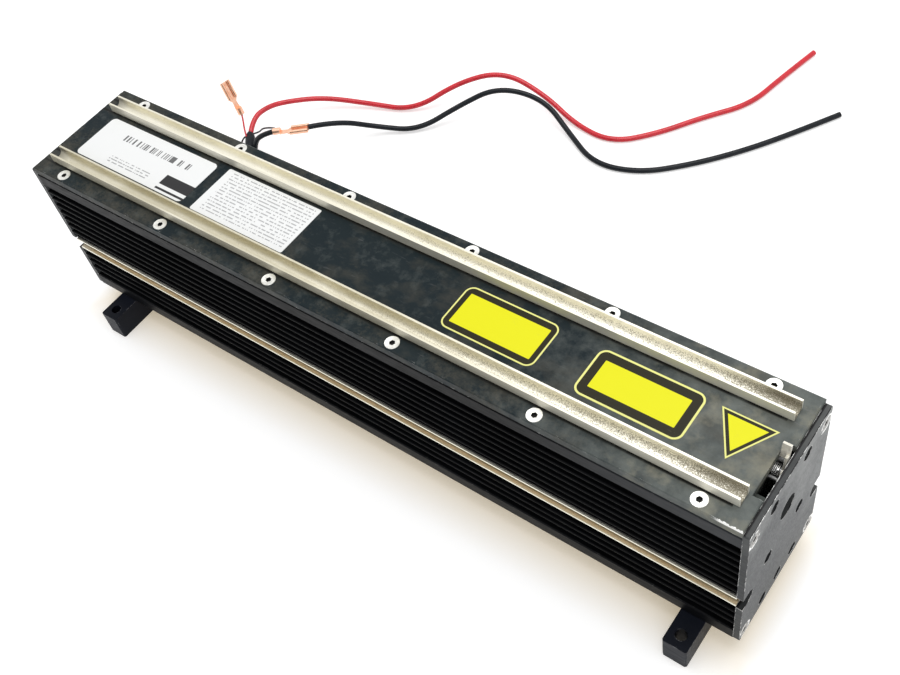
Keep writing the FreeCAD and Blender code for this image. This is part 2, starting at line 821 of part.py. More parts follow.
def terminal(base, tip):
    """Push-on receptacle: crimped barrel, flat neck and a box with two rolled edges, along +X."""
    barrel = cylinder(2.3, 5.0, (0, 0, 0), (1, 0, 0))
    barrel = barrel.common(block((-1, -2.3, -1.7), (6, 2.3, 2.3)))
    neck_outline = [Vec(4.5, 1.9, -1.7), Vec(9.5, 1.5, -1.7), Vec(12.5, 3.5, -1.7),
                    Vec(12.5, -3.5, -1.7), Vec(9.5, -1.5, -1.7), Vec(4.5, -1.9, -1.7), Vec(4.5, 1.9, -1.7)]
    neck = Part.Face(Part.makePolygon(neck_outline)).extrude(Vec(0, 0, 0.8))
    floor = block((12.0, -3.5, -1.7), (terminal_length, 3.5, -0.9))
    shape = barrel.fuse([neck, floor])
    for side in (-1, 1):
        roll = cylinder(1.3, terminal_length - 12.5, (12.5, side * 2.4, -0.4), (1, 0, 0))
        roll = roll.cut(cylinder(0.6, terminal_length, (12.0, side * 2.4, -0.4), (1, 0, 0)))
        shape = shape.fuse(roll)
    gap = block((12.0, -0.45, -0.8), (terminal_length + 1, 0.45, 2.0))
    shape = shape.cut(gap).removeSplitter()
    a, b = Vec(*base), Vec(*tip)
    along = (b - a).normalize()
    across = Vec(0, 0, 1).cross(along).normalize()
    up = along.cross(across)
    frame = FreeCAD.Matrix(
        along.x, across.x, up.x, a.x, along.y, across.y, up.y, a.y, along.z, across.z, up.z, a.z, 0, 0, 0, 1)
    return shape.transformGeometry(frame)


export(make_chassis(), "chassis")
export(make_front_plate(), "front_plate")
export(make_rear_plate(), "rear_plate")
export(plate_screws(front_x + front_plate_thick, -1, front_plate_thick), "front_plate_screws")
export(plate_screws(rear_x - rear_plate_thick, 1, rear_plate_thick), "rear_plate_screws")
export(make_cover(), "top_cover")
export(make_gasket(), "cover_gasket")
export(cover_screws(-1), "cover_screws_near")
export(cover_screws(1), "cover_screws_far")
export(top_channel(-1), "top_channel_near")
export(top_channel(1), "top_channel_far")
export(side_channel(-1), "side_channel_near")
export(side_channel(1), "side_channel_far")

foot_xs = foot_places()
export(make_foot(foot_xs[0]), "foot_rear")
export(make_foot(foot_xs[1]), "foot_front")
export(group([foot_screw(x, side * foot_screw_y) for x in foot_xs for side in (-1, 1)]), "foot_screws")

export(make_lever(), "shutter_lever")
export(make_pivot(), "shutter_pivot")
export(make_stops(), "shutter_stops")

export(optic_mount(coupler_face, 1), "coupler_mount")
export(optic(coupler_face, 1, optic_thick), "output_coupler")
export(clamp_ring(coupler_face, 1), "coupler_ring")
export(optic_mount(mirror_face, -1), "mirror_mount")
export(optic(mirror_face, -1, mirror_thick), "rear_mirror")
export(clamp_ring(mirror_face, -1), "mirror_ring")
export(electrode(1), "electrode_upper")
export(electrode(-1), "electrode_lower")
export(guide_strip(-1), "guide_strip_near")
export(guide_strip(1), "guide_strip_far")
export(electrode_spacers(), "electrode_spacers")
export(feed_insulator(), "feed_insulator")
export(feed_pin(), "feed_pin")

export(make_board(), "driver_board")
export(board_posts(), "board_posts")
export(power_transistors(), "power_transistors")
export(filter_capacitors(), "filter_capacitors")
export(make_choke(), "driver_choke")

export(label(rear_x + label_rear[0], label_rear), "label_rear")
export(label(rear_x + label_second[0], label_second), "label_second")
export(label(front_x - label_third_from_front[0], label_third_from_front), "label_third")
export(label(front_x - label_fourth_from_front[0], label_fourth_from_front), "label_fourth")
export(triangle_label(), "label_triangle")

export(make_grommet(), "cable_grommet")
export(tube(sleeve_points, sleeve_d, "sleeve"), "lead_sleeve")
export(make_boot(), "lead_boot")
export(tube(red_points, lead_d, "red lead"), "red_lead")
export(tube(tail_points, lead_d, "black tail"), "black_tail")
export(tube(black_points, lead_d, "black lead"), "black_lead")
export(tube(thin_black_points, wire_d, "thin black"), "thin_black_wire")
export(tube(thin_red_points, wire_d, "thin red"), "thin_red_wire")
export(terminal(crimp_near, crimp_far), "terminal_black")
export(terminal(flag_base, flag_tip), "terminal_red")
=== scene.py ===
import math

import bmesh
import bpy
from mathutils import Matrix, Vector


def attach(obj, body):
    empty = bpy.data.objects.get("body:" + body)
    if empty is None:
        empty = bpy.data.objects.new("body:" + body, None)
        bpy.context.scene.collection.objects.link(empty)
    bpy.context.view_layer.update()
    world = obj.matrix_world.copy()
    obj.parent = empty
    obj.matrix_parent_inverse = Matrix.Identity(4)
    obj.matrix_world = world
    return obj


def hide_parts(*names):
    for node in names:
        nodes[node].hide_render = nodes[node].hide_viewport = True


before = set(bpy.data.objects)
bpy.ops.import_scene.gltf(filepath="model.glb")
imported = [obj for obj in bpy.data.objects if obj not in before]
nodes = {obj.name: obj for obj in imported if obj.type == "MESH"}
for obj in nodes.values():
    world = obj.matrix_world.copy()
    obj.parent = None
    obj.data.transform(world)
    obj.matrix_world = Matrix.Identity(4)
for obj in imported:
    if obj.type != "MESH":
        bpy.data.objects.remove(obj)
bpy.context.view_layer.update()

housing = "housing"


# Small helpers for node trees; where a helper is given a socket, it adds to that socket's tree

def isSocket(value):
    return isinstance(value, bpy.types.NodeSocket)


def put(tree, kind, inputs=None, **settings):
    node = tree.nodes.new(kind)
    for key, value in settings.items():
        setattr(node, key, value)
    for key, value in (inputs or {}).items():
        if isSocket(value):
            tree.links.new(value, node.inputs[key])
        else:
            node.inputs[key].default_value = value
    return node


def calc(operation, *values):
    tree = next(value.id_data for value in values if isSocket(value))
    return put(tree, "ShaderNodeMath", dict(enumerate(values)), operation=operation).outputs[0]


def times(first, second):
    return calc("MULTIPLY", first, second)


def plus(first, second):
    return calc("ADD", first, second)


def minus(first, second):
    return calc("SUBTRACT", first, second)


def absolute(value):
    return calc("ABSOLUTE", value)


def larger(first, second):
    return calc("MAXIMUM", first, second)


def smaller(first, second):
    return calc("MINIMUM", first, second)


# One where the value is over the limit, and zero elsewhere
def above(value, limit):
    return calc("GREATER_THAN", value, limit)


def below(value, limit):
    return calc("LESS_THAN", value, limit)


def mixColor(factor, first, second):
    return put(factor.id_data, "ShaderNodeMix", {0: factor, 6: first, 7: second}, data_type="RGBA").outputs[2]


def remap(value, fromLow, fromHigh, toLow=0.0, toHigh=1.0):
    inputs = {0: value, 1: fromLow, 2: fromHigh, 3: toLow, 4: toHigh}
    return put(value.id_data, "ShaderNodeMapRange", inputs, clamp=True).outputs[0]


def noise(vector, scale, detail, rough):
    inputs = {"Vector": vector, "Scale": scale, "Detail": detail, "Roughness": rough}
    return put(vector.id_data, "ShaderNodeTexNoise", inputs).outputs["Fac"]


def objectPoint(tree):
    return put(tree, "ShaderNodeTexCoord").outputs["Object"]


def axes(vector):
    return put(vector.id_data, "ShaderNodeSeparateXYZ", {0: vector}).outputs


def stretched(vector, scale):
    return put(vector.id_data, "ShaderNodeMapping", {"Vector": vector, "Scale": scale}).outputs[0]


def normalAxes(tree):
    return axes(put(tree, "ShaderNodeNewGeometry").outputs["Normal"])


# Starts a node group and gives its tree, its input sockets and its output node
def startTree(name, treeKind, inputs, outputs):
    tree = bpy.data.node_groups.new(name, treeKind)
    for way, sockets in (("INPUT", inputs), ("OUTPUT", outputs)):
        for label, kind in sockets.items():
            tree.interface.new_socket(name=label, in_out=way, socket_type="NodeSocket" + kind)
    return tree, tree.nodes.new("NodeGroupInput").outputs, tree.nodes.new("NodeGroupOutput")


# A shader group takes and gives plain values only
def group(name, inputs, outputs):
    return startTree(name, "ShaderNodeTree", dict.fromkeys(inputs, "Float"), dict.fromkeys(outputs, "Float"))


def geometryTree(name, inputs):
    return startTree(name, "GeometryNodeTree", inputs, {"Geometry": "Geometry"})


def useGroup(tree, groupTree, **inputs):
    return put(tree, "ShaderNodeGroup", inputs, node_tree=groupTree).outputs


# Small helpers for pieces

def addObject(name, data):
    item = bpy.data.objects.new(name, data)
    bpy.context.collection.objects.link(item)
    return item


def meshFrom(name, shape):
    mesh = bpy.data.meshes.new(name)
    shape.to_mesh(mesh)
    shape.free()
    return mesh


# Joins rings of points with four-sided faces and closes both ends
def skinRings(shape, rings):
    for lower, upper in zip(rings, rings[1:]):
        for i in range(len(lower)):
            j = (i + 1) % len(lower)
            shape.faces.new((lower[i], lower[j], upper[j], upper[i]))
    shape.faces.new(list(reversed(rings[0])))
    shape.faces.new(rings[-1])


def smoothSides(mesh):
    for face in mesh.polygons:
        face.use_smooth = len(face.vertices) == 4


# Camera at the photograph's angle, 900 x 675

cameraPlace = {
    "location": (0.2984, -0.2325, 0.5176),
    "right": (0.79576, 0.58553, -0.15464),
    "up": (-0.39183, 0.69249, 0.60574),
    "back": (0.46176, -0.42143, 0.78049),
    "lens": 45.4,
    "sensor": 36,
    "clipStart": 0.01,
}
camera = addObject("camera", bpy.data.cameras.new("camera"))
camera.data.lens = cameraPlace["lens"]
camera.data.sensor_width = cameraPlace["sensor"]
camera.data.clip_start = cameraPlace["clipStart"]
columns = [Vector(cameraPlace[key]) for key in ("right", "up", "back")]
turn = Matrix(columns).transposed().to_4x4()
camera.matrix_world = Matrix.Translation(cameraPlace["location"]) @ turn
bpy.context.scene.camera = camera
bpy.context.scene.view_settings.view_transform = "Standard"
print("camera placed")


# Shader groups that several finishes share

wornShape = {"samples": 6, "edge": (0.02, 0.2), "patches": (4.0, 0.65), "amountShare": 0.3, "bite": (0.6, 0.72)}
dustShape = {
    "clouds": (5.0, 0.6), "specks": (3.0, 0.7), "finer": 18.0, "noCover": 0.8, "coverShare": 0.6,
    "softness": 0.3,
}
grainShape = {"value": (2.0, 0.5), "height": (4.0, 0.6), "coarser": 0.7}


def buildWornEdge():
    spec = wornShape
    tree, given, leave = group("wornEdge", ["Radius", "Scale", "Amount"], ["Mask", "Edge"])
    rounded = put(tree, "ShaderNodeBevel", {"Radius": given["Radius"]}, samples=spec["samples"]).outputs[0]
    flat = put(tree, "ShaderNodeNewGeometry").outputs["Normal"]
    agree = put(tree, "ShaderNodeVectorMath", {0: rounded, 1: flat}, operation="DOT_PRODUCT").outputs["Value"]
    edge = remap(minus(1.0, agree), *spec["edge"])
    patchy = noise(objectPoint(tree), given["Scale"], *spec["patches"])
    bite = remap(plus(patchy, times(given["Amount"], spec["amountShare"])), *spec["bite"])
    tree.links.new(times(edge, bite), leave.inputs["Mask"])
    tree.links.new(edge, leave.inputs["Edge"])
    return tree


def buildDustFilm():
    spec = dustShape
    tree, given, leave = group("dustFilm", ["Scale", "Cover", "Speckle"], ["Mask"])
    point = objectPoint(tree)
    clouds = noise(point, given["Scale"], *spec["clouds"])
    specks = noise(point, times(given["Scale"], spec["finer"]), *spec["specks"])
    both = plus(clouds, times(minus(specks, 0.5), given["Speckle"]))
    low = minus(spec["noCover"], times(given["Cover"], spec["coverShare"]))
    mask = remap(both, low, plus(low, spec["softness"]))
    tree.links.new(mask, leave.inputs["Mask"])
    return tree


def buildFineGrain():
    tree, given, leave = group("fineGrain", ["Scale", "Stretch"], ["Value", "Height"])
    scale = put(tree, "ShaderNodeCombineXYZ", {0: given["Stretch"], 1: 1.0, 2: 1.0}).outputs[0]
    factors = {0: objectPoint(tree), 1: scale}
    point = put(tree, "ShaderNodeVectorMath", factors, operation="MULTIPLY").outputs[0]
    value = noise(point, given["Scale"], *grainShape["value"])
    tree.links.new(value, leave.inputs["Value"])
    height = noise(point, times(given["Scale"], grainShape["coarser"]), *grainShape["height"])
    tree.links.new(height, leave.inputs["Height"])
    return tree


def buildRoundedField():
    sizes = ["CenterX", "CenterY", "HalfX", "HalfY", "Corner"]
    tree, given, leave = group("roundedField", sizes, ["Inside"])
    x, y = axes(objectPoint(tree))[:2]
    reach = []
    for place, middle, half in ((x, "CenterX", "HalfX"), (y, "CenterY", "HalfY")):
        away = absolute(minus(place, given[middle]))
        reach.append(plus(minus(away, given[half]), given["Corner"]))
    outer = [larger(value, 0.0) for value in reach]
    squares = [times(value, value) for value in outer]
    length = calc("SQRT", plus(squares[0], squares[1]))
    inner = smaller(larger(reach[0], reach[1]), 0.0)
    distance = minus(plus(length, inner), given["Corner"])
    tree.links.new(remap(distance, 0.00005, -0.00005), leave.inputs["Inside"])
    return tree


wornEdge = buildWornEdge()
dustFilm = buildDustFilm()
fineGrain = buildFineGrain()
roundedField = buildRoundedField()


def startMaterial(name, **constants):
    material = bpy.data.materials.new(name)
    material.use_nodes = True
    tree = material.node_tree
    shader = tree.nodes["Principled BSDF"]
    for key, value in constants.items():
        shader.inputs[key.replace("_", " ")].default_value = value
    return material, tree, shader


def feed(tree, shader, **sockets):
    for key, socket in sockets.items():
        tree.links.new(socket, shader.inputs[key.replace("_", " ")])


def addBump(tree, shader, height, distance, strength):
    bump = put(tree, "ShaderNodeBump", {"Height": height, "Distance": distance, "Strength": strength})
    tree.links.new(bump.outputs[0], shader.inputs["Normal"])


# Dark anodised metal: body, cross bars and end plates

anodisedFinishes = {
    "bodyBlack": {
        "tint": (0.0016, 0.0016, 0.002, 1), "pale": (0.004, 0.0045, 0.0055, 1),
        "dust": (0.05, 0.051, 0.05, 1), "dustCover": 0.2, "dustScale": 30.0, "topDust": 0.6,
        "bare": (0.3, 0.3, 0.3, 1), "wear": 0.12, "rough": 0.42, "specular": 0.07,
        # Lighter edges: rubbed wear with a painted highlight along the fins' crests
        "rubbedAndHighlit": {"color": (0.04, 0.042, 0.047, 1), "share": (0.35, 0.65, 0.35, 0.9)},
        "haze": {"color": (0.06, 0.064, 0.07, 1), "along": (0.1, 0.21, 0.0, 0.6), "above": 0.1035},
        # Painted light in the lever's pocket
        "pocket": {
            "color": (0.1, 0.115, 0.1, 1), "share": (0.3, 0.6, 0.4, 1.0), "from": 0.2052, "half": 0.0195,
            "above": 0.07}},
    "footBlack": {
        "tint": (0.002, 0.0035, 0.007, 1), "pale": (0.006, 0.008, 0.015, 1),
        "dust": (0.045, 0.052, 0.065, 1), "dustCover": 0.2, "dustScale": 60.0, "topDust": 0.0,
        "bare": (0.3, 0.31, 0.33, 1), "wear": 0.3, "rough": 0.45, "specular": 0.12},
    "plateGrey": {
        "tint": (0.046, 0.051, 0.055, 1), "pale": (0.1, 0.106, 0.108, 1),
        "dust": (0.13, 0.13, 0.12, 1), "dustCover": 0.34, "dustScale": 50.0, "topDust": 0.3,
        "bare": (0.95, 0.95, 0.93, 1), "wear": 0.55, "rough": 0.46, "specular": 0.25,
        "lighterUpAndFar": {
            "color": (0.36, 0.37, 0.36, 1), "upward": (0.06, 0.118, -0.2, 0.2),
            "sideways": (-0.01, 0.036, 0.0, 0.25), "share": (0.45, 1.0, 0.0, 0.8)},
        "rim": {"color": (0.006, 0.0075, 0.0085, 1), "cover": 0.7},
        "joint": {
            "color": (0.001, 0.001, 0.0015, 1), "inner": (0.2176, 0.2174), "outer": (0.2192, 0.2193)},
        "chips": {
            "y": 0.0312, "z": 0.043125, "middleZ": 0.063775, "radius": (0.005, 0.0048), "ragged": 0.004,
            "share": (0.44, 0.5)}},
}
anodisedNoise = {"drift": (25.0, 4.0, 0.6), "chipEdge": (500.0, 4.0, 0.7), "chipPatches": (190.0, 3.0, 0.6)}
anodisedRanges = {
    "drift": (0.35, 0.7), "upward": (0.3, 0.9), "endFace": (0.5, 0.85), "topFace": (0.5, 0.8),
    "grain": (0.3, 0.7), "roughSpread": 0.07, "sideDust": 0.25, "dustRough": 0.3,
    "speckle": 0.35,
}


# The body's upper faces turn paler towards the front, and painted light lightens the walls of the lever's
# pocket to a grey-green, where the recess lies in shade
def bodyPaleFrontAndPocketLight(point, drift, base, spec):
    haze, pocket = spec["haze"], spec["pocket"]
    x, y, z = axes(point)
    hazy = times(remap(x, *haze["along"]), above(z, haze["above"]))
    base = mixColor(hazy, base, haze["color"])
    # Painted light: the walls of the lever's pocket are lightened
    inside = times(below(absolute(y), pocket["half"]), above(x, pocket["from"]))
    inside = times(inside, above(z, pocket["above"]))
    return mixColor(times(inside, remap(drift, *pocket["share"])), base, pocket["color"])


# End plates: lighter towards the top and the far side, dark at the rim and where they meet the body
def plateTones(tree, point, drift, base, spec):
    lighterUpAndFar, rim, joint = spec["lighterUpAndFar"], spec["rim"], spec["joint"]
    x, y, z = axes(point)
    rise = plus(remap(z, *lighterUpAndFar["upward"]), remap(y, *lighterUpAndFar["sideways"]))
    base = mixColor(remap(plus(drift, rise), *lighterUpAndFar["share"]), base, lighterUpAndFar["color"])
    normal = normalAxes(tree)
    facing = remap(absolute(normal[0]), *anodisedRanges["endFace"])
    base = mixColor(times(minus(1.0, facing), rim["cover"]), base, rim["color"])
    reach = absolute(x)
    seam = larger(remap(reach, *joint["inner"]), remap(reach, *joint["outer"]))
    base = mixColor(times(seam, remap(normal[2], *anodisedRanges["topFace"])), base, joint["color"])
    return base, facing


# Mask of the chipped places round an end plate's screws
def screwChips(point, spec):
    y, z = axes(point)[1:]
    across = minus(absolute(y), spec["y"])
    up = minus(absolute(minus(z, spec["middleZ"])), spec["z"])
    reach = calc("SQRT", plus(times(across, across), times(up, up)))
    edge = noise(point, *anodisedNoise["chipEdge"])
    ragged = times(minus(edge, 0.5), spec["ragged"])
    chips = remap(plus(reach, ragged), *spec["radius"])
    patches = noise(point, *anodisedNoise["chipPatches"])
    return times(chips, remap(patches, *spec["share"]))


def anodised(name, spec):
    material, tree, shader = startMaterial(name, Specular_IOR_Level=spec["specular"])
    ranges = anodisedRanges
    point = objectPoint(tree)
    drift = noise(point, *anodisedNoise["drift"])
    base = mixColor(remap(drift, *ranges["drift"]), spec["tint"], spec["pale"])
    film = useGroup(
        tree, dustFilm, Scale=spec["dustScale"], Cover=spec["dustCover"], Speckle=ranges["speckle"])["Mask"]
    upward = normalAxes(tree)[2]
    least = ranges["sideDust"]
    settled = times(film, remap(upward, *ranges["upward"], least, spec["topDust"] + least))
    base = mixColor(settled, base, spec["dust"])
    edges = useGroup(tree, wornEdge, Radius=0.0005, Scale=260.0, Amount=spec["wear"])
    worn = edges["Mask"]
    if "pocket" in spec:
        base = bodyPaleFrontAndPocketLight(point, drift, base, spec)
    if "lighterUpAndFar" in spec:
        base, facing = plateTones(tree, point, drift, base, spec)
        worn = larger(worn, times(screwChips(point, spec["chips"]), facing))
    # Painted highlight with rubbed wear: every edge, the fins' crests among them, turns a little lighter
    if "rubbedAndHighlit" in spec:
        rubbedAndHighlit = times(edges["Edge"], remap(drift, *spec["rubbedAndHighlit"]["share"]))
        base = mixColor(rubbedAndHighlit, base, spec["rubbedAndHighlit"]["color"])
    base = mixColor(worn, base, spec["bare"])
    grain = useGroup(tree, fineGrain, Scale=900.0, Stretch=0.15)
    low, high = spec["rough"] - ranges["roughSpread"], spec["rough"] + ranges["roughSpread"]
    rough = remap(grain["Value"], *ranges["grain"], low, high)
    rough = plus(rough, times(settled, ranges["dustRough"]))
    feed(tree, shader, Base_Color=base, Metallic=worn, Roughness=rough)
    addBump(tree, shader, grain["Height"], distance=0.00004, strength=0.25)
    return material


# The cover: slate coloured and dusty, wiped clean in the middle, chipped at its near front corner, with a
# painted shadow along the channels' feet

coverFinish = {
    "clean": (0.0045, 0.0115, 0.0155, 1),
    "worn": (0.011, 0.0185, 0.0215, 1),
    "dust": (0.075, 0.07, 0.055, 1),
    "haze": (0.15, 0.165, 0.155, 1),
    "beige": (0.32, 0.3, 0.22, 1),
    "scuff": (0.15, 0.155, 0.16, 1),
    # Colour of the painted shadow along the channels' feet
    "paintedShade": (0.008, 0.008, 0.007, 1),
    "bare": (0.8, 0.8, 0.78, 1),
    "aside": (0.013, 0.029),
    "rearward": (-0.12, -0.22),
    "hazeAlong": (0.08, 0.2, -0.2, 0.34),
    "beigeAlong": (0.1, 0.18, 0.0, 0.55),
    "channelY": 0.023,
    "channelHalf": 0.004,
    "channelEnd": 0.2078,
    "shadowBandGap": (0.0013, 0.0006),
    "shadowBandInner": -0.0004,
    "chipAlong": (0.2035, 0.2065),
    "chipY": -0.0354,
    "chipZ": 0.1157,
    "chipRagged": 0.0024,
    "scratchAlong": (0.2102, 0.2106),
    "scratchYs": (0.0191, 0.0269),
    "scratchHalf": (0.00018, 0.00009),
}
coverRanges = {
    "drift": (0.38, 0.66), "haze": (0.32, 0.95), "brown": (0.5, 0.8, 0.0, 0.7), "beige": (0.6, 0.82),
    "shadowBandPatches": (0.36, 0.5, 0.55, 1.0), "wiped": (0.64, 0.8, 0.0, 0.3), "rough": (0.3, 1.0, 0.36, 0.62),
}
coverShares = {
    "aside": 0.2, "rearward": 0.25, "everywhere": 0.34, "dust": 0.75, "haze": 0.9, "beigeAlong": 0.35,
    "scratch": 0.7, "filmRough": 0.4,
}
coverNoise = {
    "drift": (28.0, 5.0, 0.6), "clouds": (95.0, 5.0, 0.65), "brown": (45.0, 4.0, 0.6),
    "patches": (70.0, 5.0, 0.62), "wiped": (12.0, 3.0, 0.7), "ragged": (420.0, 4.0, 0.7),
}


# Dust, haze and stains that lie on the cover, and a painted shadow along the channels' feet; also gives the
# dust's mask
def coverDirt(tree, point, base):
    spec, ranges, shares = coverFinish, coverRanges, coverShares
    x, y = axes(point)[:2]
    aside = remap(absolute(y), *spec["aside"])
    rearward = remap(x, *spec["rearward"])
    often = plus(times(aside, shares["aside"]), times(rearward, shares["rearward"]))
    often = plus(often, shares["everywhere"])
    film = useGroup(tree, dustFilm, Scale=34.0, Cover=often, Speckle=0.55)["Mask"]
    base = mixColor(times(film, shares["dust"]), base, spec["dust"])
    frontward = remap(x, *spec["hazeAlong"])
    clouds = noise(point, *coverNoise["clouds"])
    hazy = remap(plus(clouds, frontward), *ranges["haze"])
    base = mixColor(times(hazy, shares["haze"]), base, spec["haze"])
    brown = noise(stretched(point, (1.0, 1.4, 1.0)), *coverNoise["brown"])
    base = mixColor(remap(brown, *ranges["brown"]), base, spec["dust"])
    patches = noise(point, *coverNoise["patches"])
    beige = remap(plus(patches, times(frontward, shares["beigeAlong"])), *ranges["beige"])
    base = mixColor(times(beige, remap(x, *spec["beigeAlong"])), base, spec["beige"])
    # A patchy painted shadow in a narrow band along both feet of each channel, stopping at the channels' front
    # ends
    away = absolute(minus(absolute(y), spec["channelY"]))
    gap = minus(away, spec["channelHalf"])
    paintedShadowBand = times(remap(gap, *spec["shadowBandGap"]), remap(patches, *ranges["shadowBandPatches"]))
    paintedShadowBand = times(paintedShadowBand, above(gap, spec["shadowBandInner"]))
    paintedShadowBand = times(paintedShadowBand, below(x, spec["channelEnd"]))
    return mixColor(paintedShadowBand, base, spec["paintedShade"]), film


# Wiped streaks, and two scratches that lead on from the far channel
def coverMarks(point, base):
    spec = coverFinish
    x, y = axes(point)[:2]
    wiped = noise(stretched(point, (8.0, 60.0, 1.0)), *coverNoise["wiped"])
    base = mixColor(remap(wiped, *coverRanges["wiped"]), base, spec["scuff"])
    lines = 0.0
    for place in spec["scratchYs"]:
        near = absolute(minus(y, place))
        lines = larger(remap(near, *spec["scratchHalf"]), lines)
    lines = times(lines, remap(x, *spec["scratchAlong"]))
    return mixColor(times(lines, coverShares["scratch"]), base, spec["scuff"])


# Mask of the bare patch at the cover's near front corner
def coverChip(point):
    spec = coverFinish
    x, y, z = axes(point)
    ragged = minus(noise(point, *coverNoise["ragged"]), 0.5)
    limit = plus(spec["chipY"], times(ragged, spec["chipRagged"]))
    corner = times(below(y, limit), remap(x, *spec["chipAlong"]))
    return times(corner, above(z, spec["chipZ"]))


def coverSlate():
    spec = coverFinish
    material, tree, shader = startMaterial("coverSlate", Specular_IOR_Level=0.12)
    point = objectPoint(tree)
    drift = noise(stretched(point, (0.5, 1.0, 1.0)), *coverNoise["drift"])
    base = mixColor(remap(drift, *coverRanges["drift"]), spec["clean"], spec["worn"])
    base, film = coverDirt(tree, point, base)
    base = coverMarks(point, base)
    edge = useGroup(tree, wornEdge, Radius=0.0005, Scale=240.0, Amount=0.1)["Mask"]
    bare = larger(edge, coverChip(point))
    base = mixColor(bare, base, spec["bare"])
    grain = useGroup(tree, fineGrain, Scale=800.0, Stretch=0.3)
    rough = remap(plus(grain["Value"], times(film, coverShares["filmRough"])), *coverRanges["rough"])
    feed(tree, shader, Base_Color=base, Metallic=bare, Roughness=rough)
    addBump(tree, shader, minus(grain["Height"], bare), distance=0.00006, strength=0.3)
    return material


# Bright channels: rolled metal, speckled with brown dirt in the trough towards the front, with painted
# reflections and painted shade

channelFinish = {
    "metal": (0.95, 0.925, 0.82, 1),
    "dull": (0.85, 0.82, 0.69, 1),
    "dirt": (0.15, 0.125, 0.07, 1),
    "shade": (0.12, 0.11, 0.09, 1),
    "halfTrough": 0.0031,
    "rolledNoise": (900.0, 3.0, 0.6),
    "cloudNoise": (70.0, 4.0, 0.6),
    "speckNoise": (2500.0, 4.0, 0.75),
    "dullRange": (0.35, 0.7, 0.0, 0.7),
    "darkReflectionClouds": (0.3, 0.5, 0.6, 1.0),
    "grimeClouds": (0.4, 0.6, 0.1, 0.75),
    "specksDeep": (-0.12, 0.03),
    "roughRange": (0.3, 0.7, 0.4, 0.54),
    "specksAlong": (-0.05, 0.2, 0.0, 0.15),
    "specksAtEnd": (0.175, 0.2, 0.0, 0.07),
    # Top channels carry a painted dark reflection towards the rear
    "top": {
        "middle": 0.023, "rim": 0.1222, "floor": 0.1194, "specks": 0.8, "end": (-0.2, -0.2085),
        "darkReflection": (0.55, 0.51, 0.38, 1), "darkReflectionAlong": (0.16, 0.02), "grimeAlong": (0.19, 0.205)},
    # Side channels carry a painted warm reflection of the floor and painted brown shade in the trough
    "side": {
        "middle": 0.0535, "rim": 0.0354, "floor": 0.0326, "specks": 0.25, "end": (-0.205, -0.2167),
        "warmFloorReflection": (1.0, 0.84, 0.57, 1), "brown": (0.16, 0.115, 0.06, 1),
        "shadeDepth": (0.0342, 0.0332, 0.0, 0.85)},
}


def brightChannel(name, onTop):
    spec = channelFinish
    own = spec["top" if onTop else "side"]
    material, tree, shader = startMaterial(name, Specular_IOR_Level=0.5)
    point = objectPoint(tree)
    x, y, z = axes(point)
    outward = absolute(y)
    across = minus(outward if onTop else z, own["middle"])
    height = z if onTop else outward
    within = below(absolute(across), spec["halfTrough"])
    trough = times(within, below(height, own["rim"]))
    rolled = noise(stretched(point, (0.02, 1.0, 1.0)), *spec["rolledNoise"])
    clouds = noise(stretched(point, (0.4, 1.0, 1.0)), *spec["cloudNoise"])
    base = mixColor(remap(clouds, *spec["dullRange"]), spec["metal"], spec["dull"])
    # Painted reflection: the top channels darken towards the rear, more so on the near channel, standing for
    # the dark cover their walls mirror
    if onTop:
        more = plus(0.3, times(below(y, 0.0), 0.5))
        darkReflected = times(remap(x, *own["darkReflectionAlong"]), more)
        darkReflected = times(darkReflected, remap(clouds, *spec["darkReflectionClouds"]))
        base = mixColor(darkReflected, base, own["darkReflection"])
    else:
        # Painted light in the side troughs: a warm painted reflection of the floor on the flanges' inner faces,
        # and painted brown shade deeper in, on the web
        base = mixColor(times(trough, 0.75), base, own["warmFloorReflection"])
        base = mixColor(times(trough, remap(height, *own["shadeDepth"])), base, own["brown"])
    specks = noise(stretched(point, (0.7, 1.0, 1.0)), *spec["speckNoise"])
    forward = plus(remap(x, *spec["specksAlong"]), remap(x, *spec["specksAtEnd"]))
    depth = remap(height, own["rim"], own["floor"], *spec["specksDeep"])
    often = plus(plus(forward, depth), times(clouds, 0.1))
    low = minus(0.68, often)
    speckled = remap(specks, low, plus(low, 0.08))
    stained = times(times(speckled, trough), own["specks"])
    base = mixColor(stained, base, spec["dirt"])
    if onTop:
        grimy = times(remap(x, *own["grimeAlong"]), trough)
        grimy = times(grimy, remap(clouds, *spec["grimeClouds"]))
        base = mixColor(grimy, base, spec["dirt"])
    # Painted shade in the troughs' rear ends
    ends = times(remap(x, *own["end"]), trough)
    base = mixColor(times(ends, 0.7), base, spec["shade"])
    rough = plus(remap(rolled, *spec["roughRange"]), times(stained, 0.3))
    metallic = minus(1.0, times(stained, 0.7))
    if onTop:
        metallic = minus(metallic, minus(0.4, times(trough, 0.4)))
    feed(tree, shader, Base_Color=base, Metallic=metallic, Roughness=rough)
    addBump(tree, shader, rolled, distance=0.00003, strength=0.3)
    return material


# Machined and sheet metals

